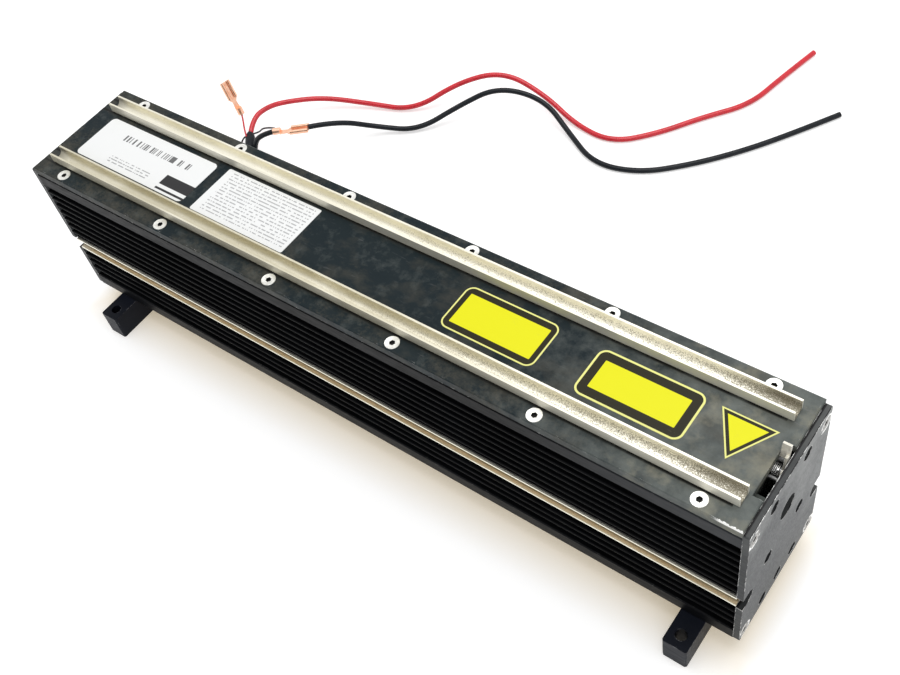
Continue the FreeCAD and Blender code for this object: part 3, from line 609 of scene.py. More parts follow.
metalFinishes = {
    "screwSteel": {"light": (0.86, 0.86, 0.83, 1), "dark": (0.66, 0.65, 0.6, 1), "rough": 0.36,
                   "scale": 500.0, "shadedSockets": True},
    "wornSteel": {"light": (0.45, 0.44, 0.42, 1), "dark": (0.04, 0.038, 0.034, 1), "rough": 0.42,
                  "scale": 520.0, "shadedSockets": True},
    "pinSteel": {"light": (0.3, 0.3, 0.3, 1), "dark": (0.14, 0.14, 0.13, 1), "rough": 0.45, "scale": 500.0},
    "springSteel": {"light": (0.85, 0.85, 0.84, 1), "dark": (0.5, 0.5, 0.48, 1), "rough": 0.24,
                    "scale": 900.0},
    "leverSteel": {"light": (0.8, 0.77, 0.68, 1), "dark": (0.56, 0.53, 0.45, 1), "rough": 0.55,
                   "scale": 260.0, "edge": (0.95, 0.95, 0.92, 1)},
    "innerAluminium": {"light": (0.8, 0.8, 0.81, 1), "dark": (0.6, 0.6, 0.61, 1), "rough": 0.3,
                       "scale": 150.0},
    "copperMetal": {"light": (0.98, 0.62, 0.45, 1), "dark": (0.88, 0.45, 0.28, 1), "rough": 0.36,
                    "scale": 260.0},
    "capacitorCan": {"light": (0.66, 0.66, 0.68, 1), "dark": (0.45, 0.45, 0.48, 1), "rough": 0.35,
                     "scale": 200.0},
    "mirrorFace": {"light": (0.92, 0.86, 0.66, 1), "dark": (0.84, 0.77, 0.56, 1), "rough": 0.05,
                   "scale": 120.0},
}
metalKind = {
    "metallic": 1.0, "clouds": (0.42, 0.72), "rough": (0.75, 1.35),
    "grain": {"Scale": 1600.0, "Stretch": 0.4}, "bump": {"distance": 0.00003, "strength": 0.25},
}
# Painted shade in the screws' hex sockets
socketPaintedShade = {"color": (0.006, 0.006, 0.005, 1), "rough": 0.8}
# Rubbed edges with a painted highlight on the lever
rubbedAndHighlitLever = {
    "wear": {"Radius": 0.0004, "Scale": 300.0, "Amount": 0.9}, "metallic": (0.3, 0.7, 0.55, 0.75),
}


# Two cloudy tones over a fine grain, for one kind of plain metal or soft material
def plainFinish(name, spec, kind):
    material, tree, shader = startMaterial(
        name, Metallic=kind["metallic"], Specular_IOR_Level=spec.get("specular", 0.5))
    clouds = noise(objectPoint(tree), spec["scale"], 4.0, 0.6)
    base = mixColor(remap(clouds, *kind["clouds"]), spec["light"], spec["dark"])
    grain = useGroup(tree, fineGrain, **kind["grain"])
    low, high = (spec["rough"] * share for share in kind["rough"])
    rough = remap(grain["Value"], 0.3, 0.7, low, high)
    if "shadedSockets" in spec:  # screw sockets carry painted shade in their recess, marked on their mesh
        paintedShade = put(tree, "ShaderNodeAttribute", attribute_name="paintedShade").outputs["Fac"]
        base = mixColor(paintedShade, base, socketPaintedShade["color"])
        rough = larger(rough, times(paintedShade, socketPaintedShade["rough"]))
        feed(tree, shader, Metallic=minus(1.0, paintedShade))
    # The lever's edges turn bright: rubbed wear with a painted highlight on the tab's top edge
    if "edge" in spec:
        worn = useGroup(tree, wornEdge, **rubbedAndHighlitLever["wear"])["Mask"]
        base = mixColor(worn, base, spec["edge"])
        feed(tree, shader, Metallic=remap(clouds, *rubbedAndHighlitLever["metallic"]))
    feed(tree, shader, Base_Color=base, Roughness=rough)
    addBump(tree, shader, grain["Height"], **kind["bump"])
    return material


# Insulation, rubber, ceramic and moulded pieces

softFinishes = {
    "leadRed": {"light": (0.7, 0.016, 0.032, 1), "dark": (0.58, 0.011, 0.024, 1), "rough": 0.25,
                "scale": 160.0, "specular": 0.55},
    "leadBlack": {"light": (0.0045, 0.007, 0.0105, 1), "dark": (0.01, 0.013, 0.017, 1), "rough": 0.3,
                  "scale": 160.0, "specular": 0.22},
    "sleeveBlack": {"light": (0.006, 0.008, 0.012, 1), "dark": (0.014, 0.017, 0.022, 1), "rough": 0.5,
                    "scale": 300.0, "specular": 0.2},
    "gasketRubber": {"light": (0.004, 0.004, 0.004, 1), "dark": (0.01, 0.01, 0.01, 1), "rough": 0.7,
                     "scale": 300.0, "specular": 0.2},
    "whiteCeramic": {"light": (0.84, 0.83, 0.79, 1), "dark": (0.74, 0.72, 0.67, 1), "rough": 0.45,
                     "scale": 200.0, "specular": 0.5},
    "boardGreen": {"light": (0.02, 0.13, 0.06, 1), "dark": (0.012, 0.08, 0.035, 1), "rough": 0.35,
                   "scale": 400.0, "specular": 0.5},
    "componentBlack": {"light": (0.016, 0.016, 0.017, 1), "dark": (0.03, 0.03, 0.03, 1), "rough": 0.55,
                       "scale": 600.0, "specular": 0.4},
}
softKind = {
    "metallic": 0.0, "clouds": (0.4, 0.7), "rough": (0.8, 1.25),
    "grain": {"Scale": 1300.0, "Stretch": 1.0}, "bump": {"distance": 0.00005, "strength": 0.3},
}
glassFinish = {
    "light": (0.85, 0.55, 0.12, 1), "dark": (0.75, 0.42, 0.07, 1), "clouds": (90.0, 3.0, 0.5),
    "rough": (0.3, 0.7, 0.03, 0.08),
}


def couplerGlass():
    material, tree, shader = startMaterial("couplerGlass", IOR=2.4, Transmission_Weight=0.5)
    clouds = noise(objectPoint(tree), *glassFinish["clouds"])
    base = mixColor(clouds, glassFinish["light"], glassFinish["dark"])
    feed(tree, shader, Base_Color=base, Roughness=remap(clouds, *glassFinish["rough"]))
    return material


# Stickers: bare fields, bars and borders with nothing to read on them

stickerFields = {
    "white": (0.86, 0.87, 0.87, 1),
    "yellow": (0.8, 0.78, 0.012, 1),
    "yellowLine": (0.84, 0.83, 0.28, 1),
    "dark": (0.019, 0.017, 0.006, 1),
    "grey": (0.2, 0.2, 0.21, 1),
    "ink": (0.03, 0.03, 0.032, 1),
    "soil": (0.3, 0.26, 0.18, 1),
}
whiteStickers = {
    "rearSticker": {
        "code": ((-186, 4.6), (-132, 9.0)), "codeBars": {"step": 0.0006, "share": 0.45, "seedShift": 0.3},
        "lines": ((-181, -12.4), (-149, -7.0)), "lineRules": {"step": 0.0019, "thick": 0.36, "dash": 0.0007},
        "lineInk": 0.7, "blocks": [((-139.6, -10.0), (-117.4, -3.0)), ((-139.6, -13.6), (-117.4, -12.2))]},
    "secondSticker": {
        "lines": ((-106, -12.5), (-47, 15.5)), "lineRules": {"step": 0.0021, "thick": 0.36, "dash": 0.0007},
        "lineInk": 0.6},
}
yellowPlates = {
    "thirdSticker": {
        "low": (51.2, -12.5), "high": (102.55, 13.95), "panel": ((54.9, -8.5), (99.1, 9.85)), "line": 0.8,
        "corner": 4.5, "node": "label_third"},
    "fourthSticker": {
        "low": (123.75, -13.2), "high": (175.85, 13.2), "panel": ((128.85, -7.75), (170.7, 7.9)), "line": 1.0,
        "corner": 4.5, "node": "label_fourth"},
}
panelCorner = 0.0004
triangleCorners = [(182.3, 11.7), (195.2, -10.3), (208.1, 11.7)]
triangleSteps = {"line": (0.00065, 0.00075), "panel": (0.0021, 0.0022)}


def startSticker(name):
    return startMaterial(name, Specular_IOR_Level=0.15)


# Mask of a rounded rectangle given by two corners in millimetres
def fieldMask(tree, low, high, corner=0.0002):
    spec = {
        "CenterX": (low[0] + high[0]) / 2000, "CenterY": (low[1] + high[1]) / 2000,
        "HalfX": (high[0] - low[0]) / 2000, "HalfY": (high[1] - low[1]) / 2000, "Corner": corner}
    return useGroup(tree, roundedField, **spec)["Inside"]


# Soil, worn edges and gloss that all stickers share
def finishSticker(tree, shader, base, soiled):
    film = useGroup(tree, dustFilm, Scale=60.0, Cover=0.25, Speckle=0.6)["Mask"]
    base = mixColor(times(film, soiled), base, stickerFields["soil"])
    worn = useGroup(tree, wornEdge, Radius=0.0003, Scale=700.0, Amount=0.5)["Mask"]
    base = mixColor(times(worn, 0.5), base, stickerFields["soil"])
    grain = useGroup(tree, fineGrain, Scale=1200.0, Stretch=1.0)
    feed(tree, shader, Base_Color=base, Roughness=remap(grain["Value"], 0.3, 0.7, 0.3, 0.42))
    addBump(tree, shader, grain["Height"], distance=0.00002, strength=0.2)


# Upright bars of uneven width along x, made from one random number a step
def bars(tree, step, share, seedShift):
    x = axes(objectPoint(tree))[0]
    cell = calc("FLOOR", calc("DIVIDE", plus(x, seedShift), step))
    chance = put(tree, "ShaderNodeTexWhiteNoise", {"W": cell}, noise_dimensions="1D").outputs["Value"]
    return below(chance, share)


ruleRows = {"before": 100.0, "shift": 0.37, "gaps": 0.32}


# Thin broken rules, evenly spaced in y, each row shifted a little against the last
def rules(tree, step, thick, dash):
    x, y = axes(objectPoint(tree))[:2]
    row = plus(calc("DIVIDE", y, step), ruleRows["before"])
    line = below(calc("FRACT", row), thick)
    number = calc("FLOOR", row)
    cell = calc("FLOOR", plus(calc("DIVIDE", x, dash), times(number, ruleRows["shift"])))
    spot = put(tree, "ShaderNodeCombineXYZ", {0: cell, 1: number}).outputs[0]
    chance = put(tree, "ShaderNodeTexWhiteNoise", {"Vector": spot}, noise_dimensions="2D").outputs["Value"]
    return times(line, above(chance, ruleRows["gaps"]))


# White sticker with rules in place of print, and with bars and dark blocks where it has them
def whiteSticker(name, spec):
    material, tree, shader = startSticker(name)
    base = stickerFields["white"]
    if "code" in spec:
        code = times(fieldMask(tree, *spec["code"]), bars(tree, **spec["codeBars"]))
        base = mixColor(times(code, 0.85), base, stickerFields["ink"])
    lines = times(fieldMask(tree, *spec["lines"]), rules(tree, **spec["lineRules"]))
    base = mixColor(times(lines, spec["lineInk"]), base, stickerFields["grey"])
    if "blocks" in spec:
        block = larger(*(fieldMask(tree, *field) for field in spec["blocks"]))
        base = mixColor(block, base, stickerFields["ink"])
    finishSticker(tree, shader, base, soiled=0.15)
    return material


# Dark sticker with a thin yellow outline and a bare yellow panel
def yellowSticker(name, spec):
    material, tree, shader = startSticker(name)
    low, high, line = spec["low"], spec["high"], spec["line"]
    inner = ((low[0] + line, low[1] + line), (high[0] - line, high[1] - line))
    band = fieldMask(tree, *inner, (spec["corner"] - line) / 1000)
    base = mixColor(band, stickerFields["yellowLine"], stickerFields["dark"])
    base = mixColor(fieldMask(tree, *spec["panel"], panelCorner), base, stickerFields["yellow"])
    finishSticker(tree, shader, base, soiled=0.25)
    return material


# Three nested triangles, yellow, dark and yellow, from the distance to each side
def triangleSticker(corners):
    material, tree, shader = startSticker("triangleSticker")
    x, y = axes(objectPoint(tree))[:2]
    inside = 1.0
    for first, second in zip(corners, corners[1:] + corners[:1]):
        dx, dy = second[0] - first[0], second[1] - first[1]
        long = math.hypot(dx, dy)
        side = minus(times(minus(y, first[1] / 1000), dx / long), times(minus(x, first[0] / 1000), dy / long))
        inside = smaller(side, inside)
    border = remap(inside, *triangleSteps["line"])
    base = mixColor(border, stickerFields["yellowLine"], stickerFields["dark"])
    base = mixColor(remap(inside, *triangleSteps["panel"]), base, stickerFields["yellow"])
    finishSticker(tree, shader, base, soiled=0.2)
    return material


finishes = {name: anodised(name, spec) for name, spec in anodisedFinishes.items()}
finishes.update({name: plainFinish(name, spec, metalKind) for name, spec in metalFinishes.items()})
finishes.update({name: plainFinish(name, spec, softKind) for name, spec in softFinishes.items()})
finishes["coverSlate"] = coverSlate()
finishes["topChannel"] = brightChannel("topChannel", True)
finishes["sideChannel"] = brightChannel("sideChannel", False)
finishes["couplerGlass"] = couplerGlass()
finishes.update({name: whiteSticker(name, spec) for name, spec in whiteStickers.items()})
finishes.update({name: yellowSticker(name, spec) for name, spec in yellowPlates.items()})
finishes["triangleSticker"] = triangleSticker(triangleCorners)
print("finishes built:", len(finishes))

nodeFinishes = {
    "bodyBlack": ["chassis"],
    "footBlack": ["foot_rear", "foot_front"],
    "plateGrey": ["front_plate", "rear_plate"],
    "coverSlate": ["top_cover"],
    "gasketRubber": ["cover_gasket"],
    "topChannel": ["top_channel_near", "top_channel_far"],
    "sideChannel": ["side_channel_near", "side_channel_far"],
    "screwSteel": ["cover_screws_near", "cover_screws_far", "front_plate_screws", "rear_plate_screws",
                   "foot_screws"],
    "pinSteel": ["shutter_pivot", "shutter_stops"],
    "leverSteel": ["shutter_lever"],
    "innerAluminium": ["coupler_mount", "coupler_ring", "mirror_mount", "mirror_ring", "electrode_upper",
                       "electrode_lower"],
    "couplerGlass": ["output_coupler"],
    "mirrorFace": ["rear_mirror"],
    "whiteCeramic": ["guide_strip_near", "guide_strip_far", "electrode_spacers", "feed_insulator"],
    "copperMetal": ["feed_pin", "board_posts", "terminal_black", "terminal_red"],
    "boardGreen": ["driver_board"],
    "componentBlack": ["power_transistors", "driver_choke"],
    "capacitorCan": ["filter_capacitors"],
    "rearSticker": ["label_rear"],
    "secondSticker": ["label_second"],
    "thirdSticker": ["label_third"],
    "fourthSticker": ["label_fourth"],
    "triangleSticker": ["label_triangle"],
    "sleeveBlack": ["cable_grommet", "lead_sleeve", "lead_boot"],
    "leadRed": ["red_lead", "thin_red_wire"],
    "leadBlack": ["black_tail", "black_lead", "thin_black_wire"],
}
for finish, names in nodeFinishes.items():
    for name in names:
        slots = nodes[name].data.materials
        slots.clear()
        slots.append(finishes[finish])
print("frame nodes dressed:", sum(len(names) for names in nodeFinishes.values()))


# Leads: the same routes as the solids, in millimetres, as smooth NURBS lines

leadRoutes = {
    "leadSleeve": {
        "points": [(-190.9, 29.5, 36.5), (-192, 54, 33), (-199, 76, 20), (-209, 93, 9), (-220.5, 106, 7)],
        "diameter": 7.0, "finish": "sleeveBlack", "node": "lead_sleeve", "slot": "sleeve_black"},
    "redLead": {
        "points": [
            (-229.5, 115, 10.5), (-234.5, 125, 15.5), (-233, 139, 15.5), (-228, 152, 12), (-209, 170, 9),
            (-179, 184, 4), (-147, 194, 2), (-125, 221, 15), (-99, 239, 20), (-67, 240, 10), (-39, 232, 2),
            (-9, 228, 2), (13, 248, 2), (32, 275, 2), (53, 299, 2), (59, 331, 2), (66.5, 363, 2)],
        "diameter": 3.6, "finish": "leadRed", "node": "red_lead", "slot": "lead_red"},
    "blackTail": {
        "points": [(-219.1, 107.2, 7), (-219.5, 110, 13), (-212.5, 113, 19.5), (-205, 117, 22)],
        "diameter": 3.6, "finish": "leadBlack", "node": "black_tail", "slot": "lead_black"},
    "blackLead": {
        "points": [
            (-184, 130, 24), (-173, 147, 20), (-157, 166, 6), (-132, 179, 2), (-114, 204, 11), (-94, 224, 20),
            (-63, 233, 14), (-37, 222, 3), (-9, 206, 2), (21, 212, 2), (45, 232, 2), (67, 256, 2),
            (88, 285, 2), (107, 315, 2)],
        "diameter": 3.6, "finish": "leadBlack", "node": "black_lead", "slot": "lead_black"},
    "thinBlackWire": {
        "points": [
            (-185.3, 29.7, 36.5), (-184, 50, 30), (-200, 76, 12), (-221, 96, 2.5), (-237, 109, 3),
            (-239, 117, 4.5), (-229, 122, 7), (-219, 120.5, 17.5), (-206.2, 119.6, 22.5)],
        "diameter": 1.2, "finish": "leadBlack", "node": "thin_black_wire", "slot": "lead_black"},
    "thinRedWire": {
        "points": [(-229.3, 111.2, 12.0), (-234.5, 115.5, 14.5), (-238.5, 119.5, 15.5), (-241.5, 122.5, 19)],
        "diameter": 1.2, "finish": "leadRed", "node": "thin_red_wire", "slot": "lead_red"},
}


leadCurve = {"bevelSteps": 6, "pointSteps": 10, "order": 3}


def layLead(name, spec):
    curve = bpy.data.curves.new(name, "CURVE")
    curve.dimensions = "3D"
    curve.bevel_depth = spec["diameter"] / 2000
    curve.bevel_resolution = leadCurve["bevelSteps"]
    curve.resolution_u = leadCurve["pointSteps"]
    curve.use_fill_caps = True
    spline = curve.splines.new("NURBS")
    spline.points.add(len(spec["points"]) - 1)
    for target, place in zip(spline.points, spec["points"]):
        target.co = (place[0] / 1000, place[1] / 1000, place[2] / 1000, 1)
    spline.order_u = leadCurve["order"]
    spline.use_endpoint_u = True
    lead = addObject(name, curve)
    curve.materials.append(finishes[spec["finish"]])
    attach(lead, housing)
    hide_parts(spec["node"])
    return lead


leads = {name: layLead(name, spec) for name, spec in leadRoutes.items()}
print("leads laid:", len(leads))


# Boot of shrunk tube over the end of the sleeve and the start of the red lead

bootShape = {
    "from": (-219.9, 102.1, 6.4), "to": (-230.4, 116.2, 11.0),
    "radii": [3.5, 3.6, 3.55, 3.6, 3.5, 3.6, 3.55, 3.5, 3.55, 3.45, 3.45, 3.35, 3.3, 3.15, 3.0, 2.75, 2.45,
              2.05],
    "sides": 28, "flatten": 0.06, "twist": 0.5,
}


def shapeBoot(spec):
    start, end = Vector(spec["from"]), Vector(spec["to"])
    along = (end - start).normalized()
    across = along.cross(Vector((0, 0, 1))).normalized()
    upward = across.cross(along)
    rows = len(spec["radii"])
    shape = bmesh.new()
    rings = []
    for row, radius in enumerate(spec["radii"]):
        middle = start.lerp(end, row / (rows - 1))
        ring = []
        for i in range(spec["sides"]):
            angle = 2 * math.pi * i / spec["sides"]
            wave = radius * (1 + spec["flatten"] * math.cos(2 * angle + row * spec["twist"]))
            out = (across * math.cos(angle) + upward * math.sin(angle)) * wave
            ring.append(shape.verts.new((middle + out) / 1000))
        rings.append(ring)
    skinRings(shape, rings)
    bmesh.ops.recalc_face_normals(shape, faces=shape.faces)
    mesh = meshFrom("shrunkBoot", shape)
    smoothSides(mesh)
    boot = addObject("shrunkBoot", mesh)
    mesh.materials.append(finishes["sleeveBlack"])
    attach(boot, housing)
    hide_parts("lead_boot")
    return boot


shrunkBoot = shapeBoot(bootShape)


# The two yellow labels, as large as in the photograph, with round corners

plateShape = {"under": 116.6, "top": 116.75, "steps": 8}


def layPlate(name, spec):
    (left, bottom), (right, top), corner = spec["low"], spec["high"], spec["corner"]
    inner = [
        (right - corner, top - corner), (left + corner, top - corner),
        (left + corner, bottom + corner), (right - corner, bottom + corner)]
    outline = []
    for quarter, (x, y) in enumerate(inner):
        for step in range(plateShape["steps"] + 1):
            angle = math.pi / 2 * (quarter + step / plateShape["steps"])
            outline.append((x + corner * math.cos(angle), y + corner * math.sin(angle)))
    shape = bmesh.new()
    rings = []
    for height in (plateShape["under"], plateShape["top"]):
        rings.append([shape.verts.new((x / 1000, y / 1000, height / 1000)) for x, y in outline])
    skinRings(shape, rings)
    mesh = meshFrom(name, shape)
    plate = addObject(name, mesh)
    mesh.materials.append(finishes[name])
    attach(plate, housing)
    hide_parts(spec["node"])


for name, spec in yellowPlates.items():
    layPlate(name, spec)
print("labels laid:", len(yellowPlates))


# Screws with a dished face and a hexagon socket, set out on a grid by geometry nodes

screwShape = {
    "sides": 36,
    "hexRings": [(0.5, -1.95), (1.225, -1.7), (1.25, -0.2), (1.4, -0.12)],
    "roundRings": [(2.4, -0.084), (3.4, -0.02), (3.63, 0.0), (3.75, -0.16), (1.9, -2.2), (1.9, -3.8)],
    "shadedSocketRings": 3,
    "spin": ((0, 0, 0), (0, 0, 6.283)),
}
screwGrids = {
    "coverScrews": {
        "center": (0.35, 0, 116.6), "turn": (0, 0, 0), "long": 390.3, "wide": 63.0, "along": 6, "seed": 4,
        "finish": "screwSteel", "nodes": ("cover_screws_near", "cover_screws_far")},
    "frontPlateScrews": {
        "center": (219.7, 0, 63.775), "turn": (0, 90, 0), "long": 86.25, "wide": 62.4, "along": 2, "seed": 7,
        "finish": "wornSteel", "nodes": ("front_plate_screws",)},
    "rearPlateScrews": {
        "center": (-219.7, 0, 63.775), "turn": (0, -90, 0), "long": 86.25, "wide": 62.4, "along": 2, "seed": 9,
        "finish": "wornSteel", "nodes": ("rear_plate_screws",)},
}


# One countersunk screw, its face on z = 0: hexagons make the socket, round rings the head and the shank
def screwMesh(spec):
    sides = spec["sides"]
    shape = bmesh.new()
    rings = []
    for kind in ("hexRings", "roundRings"):
        for radius, height in spec[kind]:
            ring = []
            for i in range(sides):
                angle = 2 * math.pi * i / sides
                wedge = (angle + math.pi / 6) % (math.pi / 3) - math.pi / 6
                reach = radius / math.cos(wedge) if kind == "hexRings" else radius
                place = (reach * math.cos(angle), reach * math.sin(angle), height)
                ring.append(shape.verts.new([value / 1000 for value in place]))
            rings.append(ring)
    skinRings(shape, rings)
    bmesh.ops.recalc_face_normals(shape, faces=shape.faces)
    mesh = meshFrom("screwShape", shape)
    # The socket's rings are marked to carry painted shade
    paintedShade = mesh.attributes.new("paintedShade", "FLOAT", "POINT")
    for i in range(spec["shadedSocketRings"] * sides):
        paintedShade.data[i].value = 1.0
    return mesh


# Ends a geometry tree: turns and moves the result, makes it real and gives it its finish
def placeResult(tree, given, leave, geometry, turn):
    moved = put(tree, "GeometryNodeTransform", {
        "Geometry": geometry, "Translation": given["Center"], "Rotation": turn})
    real = put(tree, "GeometryNodeRealizeInstances", {0: moved.outputs[0]})
    painted = put(tree, "GeometryNodeSetMaterial", {
        "Geometry": real.outputs[0], "Material": given["Material"]})
    tree.links.new(painted.outputs[0], leave.inputs[0])


def joinGeometry(tree, *parts):
    joined = tree.nodes.new("GeometryNodeJoinGeometry")
    for part in parts:
        tree.links.new(part.outputs[0], joined.inputs[0])
    return joined.outputs[0]


def randomVector(tree, given, low, high):
    node = put(tree, "FunctionNodeRandomValue", {"Seed": given["Seed"]}, data_type="FLOAT_VECTOR")
    node.inputs[0].default_value = low
    node.inputs[1].default_value = high
    return node.outputs[0]


def buildScrewGrid():
    tree, given, leave = geometryTree("screwGrid", {
        "Screw": "Object", "Long": "Float", "Wide": "Float", "Along": "Int", "Seed": "Int",
        "Center": "Vector", "Turn": "Vector", "Material": "Material"})
    grid = put(tree, "GeometryNodeMeshGrid", {
        "Size X": given["Long"], "Size Y": given["Wide"], "Vertices X": given["Along"], "Vertices Y": 2})
    screw = put(tree, "GeometryNodeObjectInfo", {"Object": given["Screw"]})
    spin = randomVector(tree, given, *screwShape["spin"])
    placed = put(tree, "GeometryNodeInstanceOnPoints", {
        "Points": grid.outputs["Mesh"], "Instance": screw.outputs["Geometry"], "Rotation": spin})
    placeResult(tree, given, leave, placed.outputs[0], given["Turn"])
    return tree


# Runs a geometry tree on an empty mesh and keeps its result as a plain mesh
def growPiece(name, tree, values):
    piece = addObject(name, bpy.data.meshes.new(name))
    modifier = piece.modifiers.new(tree.name, "NODES")
    modifier.node_group = tree
    for item in tree.interface.items_tree:
        if item.item_type == "SOCKET" and item.in_out == "INPUT":
            modifier[item.identifier] = values[item.name]
    bpy.context.view_layer.update()
    graph = bpy.context.evaluated_depsgraph_get()
    mesh = bpy.data.meshes.new_from_object(piece.evaluated_get(graph))
    piece.modifiers.clear()
    piece.data = mesh
    return piece


# Torsion spring round the lever's pin, with one leg standing up behind the lever

springShape = {
    "Center": (0.2111, 0.0015, 0.106), "Radius": 0.00328, "Height": 0.0031, "Rotations": 4.25,
    "Wire": 0.00034, "Leg": 0.0066,
}
springSteps = {"coil": 24, "wire": 10}


def buildPinSpring():
    kinds = {**dict.fromkeys(springShape, "Float"), "Center": "Vector", "Material": "Material"}
    tree, given, leave = geometryTree("pinSpring", kinds)
    coil = put(tree, "GeometryNodeCurveSpiral", {
        "Resolution": springSteps["coil"], "Rotations": given["Rotations"], "Reverse": True,
        "Start Radius": given["Radius"], "End Radius": given["Radius"], "Height": given["Height"]})
    aside = times(given["Radius"], -1.0)
    foot = put(tree, "ShaderNodeCombineXYZ", {1: aside, 2: given["Height"]})
    top = put(tree, "ShaderNodeCombineXYZ", {
        0: times(given["Leg"], -1.0), 1: aside, 2: given["Height"]})
    leg = put(tree, "GeometryNodeCurvePrimitiveLine", {"Start": foot.outputs[0], "End": top.outputs[0]})
    joined = joinGeometry(tree, coil, leg)
    section = put(tree, "GeometryNodeCurvePrimitiveCircle", {
        "Resolution": springSteps["wire"], "Radius": given["Wire"]})
    wire = put(tree, "GeometryNodeCurveToMesh", {
        "Curve": joined, "Profile Curve": section.outputs[0], "Fill Caps": True})
    placeResult(tree, given, leave, wire.outputs[0], (0, math.pi / 2, 0))
    return tree


pinSpring = growPiece("pinSpring", buildPinSpring(), {**springShape, "Material": finishes["springSteel"]})
smoothSides(pinSpring.data)
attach(pinSpring, housing)
print("spring wound")


screwPattern = addObject("screwPattern", screwMesh(screwShape))
screwGrid = buildScrewGrid()
for name, spec in screwGrids.items():
    piece = growPiece(name, screwGrid, {
        "Screw": screwPattern, "Long": spec["long"] / 1000, "Wide": spec["wide"] / 1000, "Along": spec["along"],
        "Seed": spec["seed"], "Center": tuple(v / 1000 for v in spec["center"]),
        "Turn": tuple(math.radians(v) for v in spec["turn"]), "Material": finishes[spec["finish"]]})
    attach(piece, housing)
    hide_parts(*spec["nodes"])
bpy.data.objects.remove(screwPattern)
print("screws set:", len(screwGrids))


# Cut ends of the long leads: copper strands in the insulation

strandEnds = {
    "redStrands": {"tip": (66.5, 363, 2), "from": (59, 331, 2), "seed": 2},
    "blackStrands": {"tip": (107, 315, 2), "from": (88, 285, 2), "seed": 5},
}
strandShape = {
    "ring": 0.00068, "radius": 0.00034, "length": 0.0012, "proud": 0.00025,
    "thinnest": (0.9, 0.9, 0.8), "thickest": (1.05, 1.05, 1.0),
}


def buildStrandBundle():
    tree, given, leave = geometryTree("strandBundle", {
        "Ring": "Float", "Radius": "Float", "Length": "Float", "Seed": "Int", "Center": "Vector",
        "Turn": "Vector", "Material": "Material"})
    ring = put(tree, "GeometryNodeMeshCircle", {"Vertices": 6, "Radius": given["Ring"]})
    middle = put(tree, "GeometryNodeMeshLine", {"Count": 1})
    joined = joinGeometry(tree, ring, middle)
    wire = put(tree, "GeometryNodeMeshCylinder", {
        "Vertices": 10, "Radius": given["Radius"], "Depth": given["Length"]})
    uneven = randomVector(tree, given, strandShape["thinnest"], strandShape["thickest"])
    placed = put(tree, "GeometryNodeInstanceOnPoints", {
        "Points": joined, "Instance": wire.outputs["Mesh"], "Scale": uneven})
    placeResult(tree, given, leave, placed.outputs[0], given["Turn"])
    return tree


strandBundle = buildStrandBundle()
for name, spec in strandEnds.items():
    tip = Vector(spec["tip"]) / 1000
    way = (tip - Vector(spec["from"]) / 1000).normalized()
    turn = way.to_track_quat("Z", "X").to_euler()
    center = tip + way * (strandShape["proud"] - strandShape["length"] / 2)
    piece = growPiece(name, strandBundle, {
        "Ring": strandShape["ring"], "Radius": strandShape["radius"], "Length": strandShape["length"],
        "Seed": spec["seed"], "Center": tuple(center), "Turn": tuple(turn),
        "Material": finishes["copperMetal"]})
    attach(piece, housing)

# Floor, world and lamps

studio = {
    "floorHalf": 3.0,
    "floorColor": (0.82, 0.82, 0.82, 1),
    "shadowGlow": (0.35, 0.29, 0.19, 1),
    "openGlow": (0.45, 0.45, 0.45, 1),
    "footprint": (0.22, 0.036),
    "shadowReach": 0.021,
    "endSqueeze": 2.0,
    "worldLight": 0.55,
    "lamps": [
        {"name": "overheadLamp", "place": (0.1, 0.25, 1.6), "aim": (0, 0, 0), "size": 1.3, "watts": 15.0},
        {"name": "nearLamp", "place": (0.9, -1.2, 1.0), "aim": (0, 0, 0.05), "size": 0.9, "watts": 3.0},
    ],
}


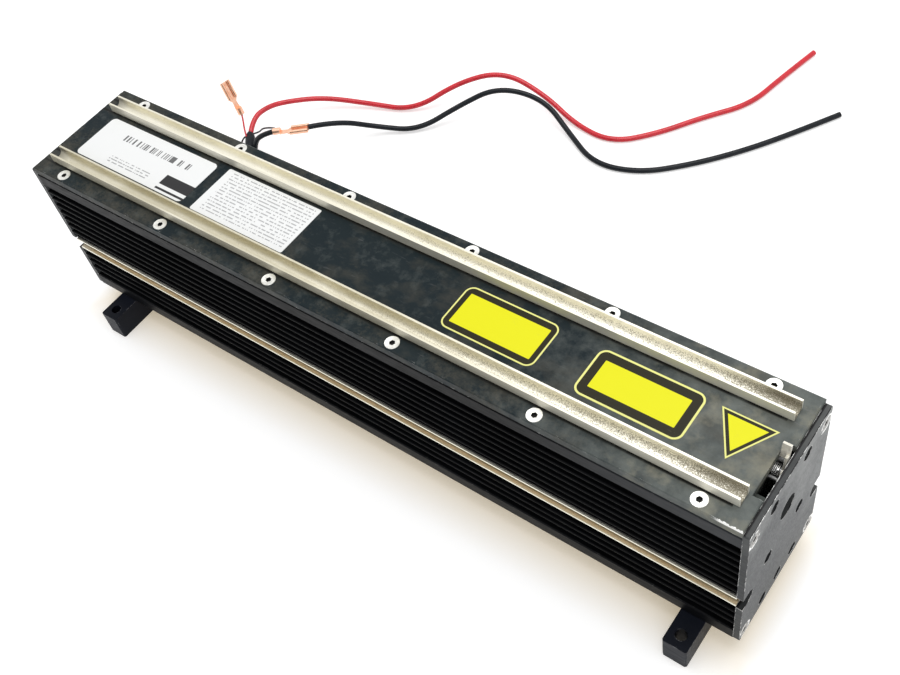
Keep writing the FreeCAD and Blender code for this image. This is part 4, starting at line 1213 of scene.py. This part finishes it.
# One where the camera, a reflection or a view through glass meets the surface
def whiteWhenSeen(tree):
    path = put(tree, "ShaderNodeLightPath").outputs
    seen = larger(path["Is Camera Ray"], path["Is Glossy Ray"])
    return larger(seen, path["Is Transmission Ray"])


def buildFloor():
    shape = bmesh.new()
    bmesh.ops.create_grid(shape, x_segments=8, y_segments=8, size=studio["floorHalf"])
    mesh = meshFrom("studioFloor", shape)
    floor = addObject("studioFloor", mesh)
    material, tree, shader = startMaterial("floorPaper", Roughness=0.9, Specular_IOR_Level=0.1)
    # The glow is dimmer and warmer within a short reach of the body's footprint: a painted shadow round the
    # base
    x, y = axes(objectPoint(tree))[:2]
    beyond = minus(absolute(x), studio["footprint"][0])
    aside = minus(absolute(y), studio["footprint"][1])
    away = larger(times(beyond, studio["endSqueeze"]), aside)
    outer = remap(away, 0.0, studio["shadowReach"])
    glowWithPaintedShadow = mixColor(outer, studio["shadowGlow"], studio["openGlow"])
    glow = mixColor(whiteWhenSeen(tree), (0, 0, 0, 1), glowWithPaintedShadow)
    shader.inputs["Base Color"].default_value = studio["floorColor"]
    shader.inputs["Emission Strength"].default_value = 1.0
    tree.links.new(glow, shader.inputs["Emission Color"])
    mesh.materials.append(material)


def buildWorld():
    world = bpy.data.worlds.new("studioWorld")
    bpy.context.scene.world = world
    world.use_nodes = True
    tree = world.node_tree
    background = tree.nodes["Background"]
    background.inputs["Color"].default_value = (1, 1, 1, 1)
    strength = remap(whiteWhenSeen(tree), 0.0, 1.0, studio["worldLight"], 1.0)
    tree.links.new(strength, background.inputs["Strength"])


def addLamp(spec):
    data = bpy.data.lights.new(spec["name"], "AREA")
    data.shape = "SQUARE"
    data.size = spec["size"]
    data.energy = spec["watts"]
    lamp = addObject(spec["name"], data)
    lamp.location = spec["place"]
    way = Vector(spec["aim"]) - Vector(spec["place"])
    lamp.rotation_euler = way.to_track_quat("-Z", "Y").to_euler()


buildFloor()
buildWorld()
for spec in studio["lamps"]:
    addLamp(spec)
print("studio ready")

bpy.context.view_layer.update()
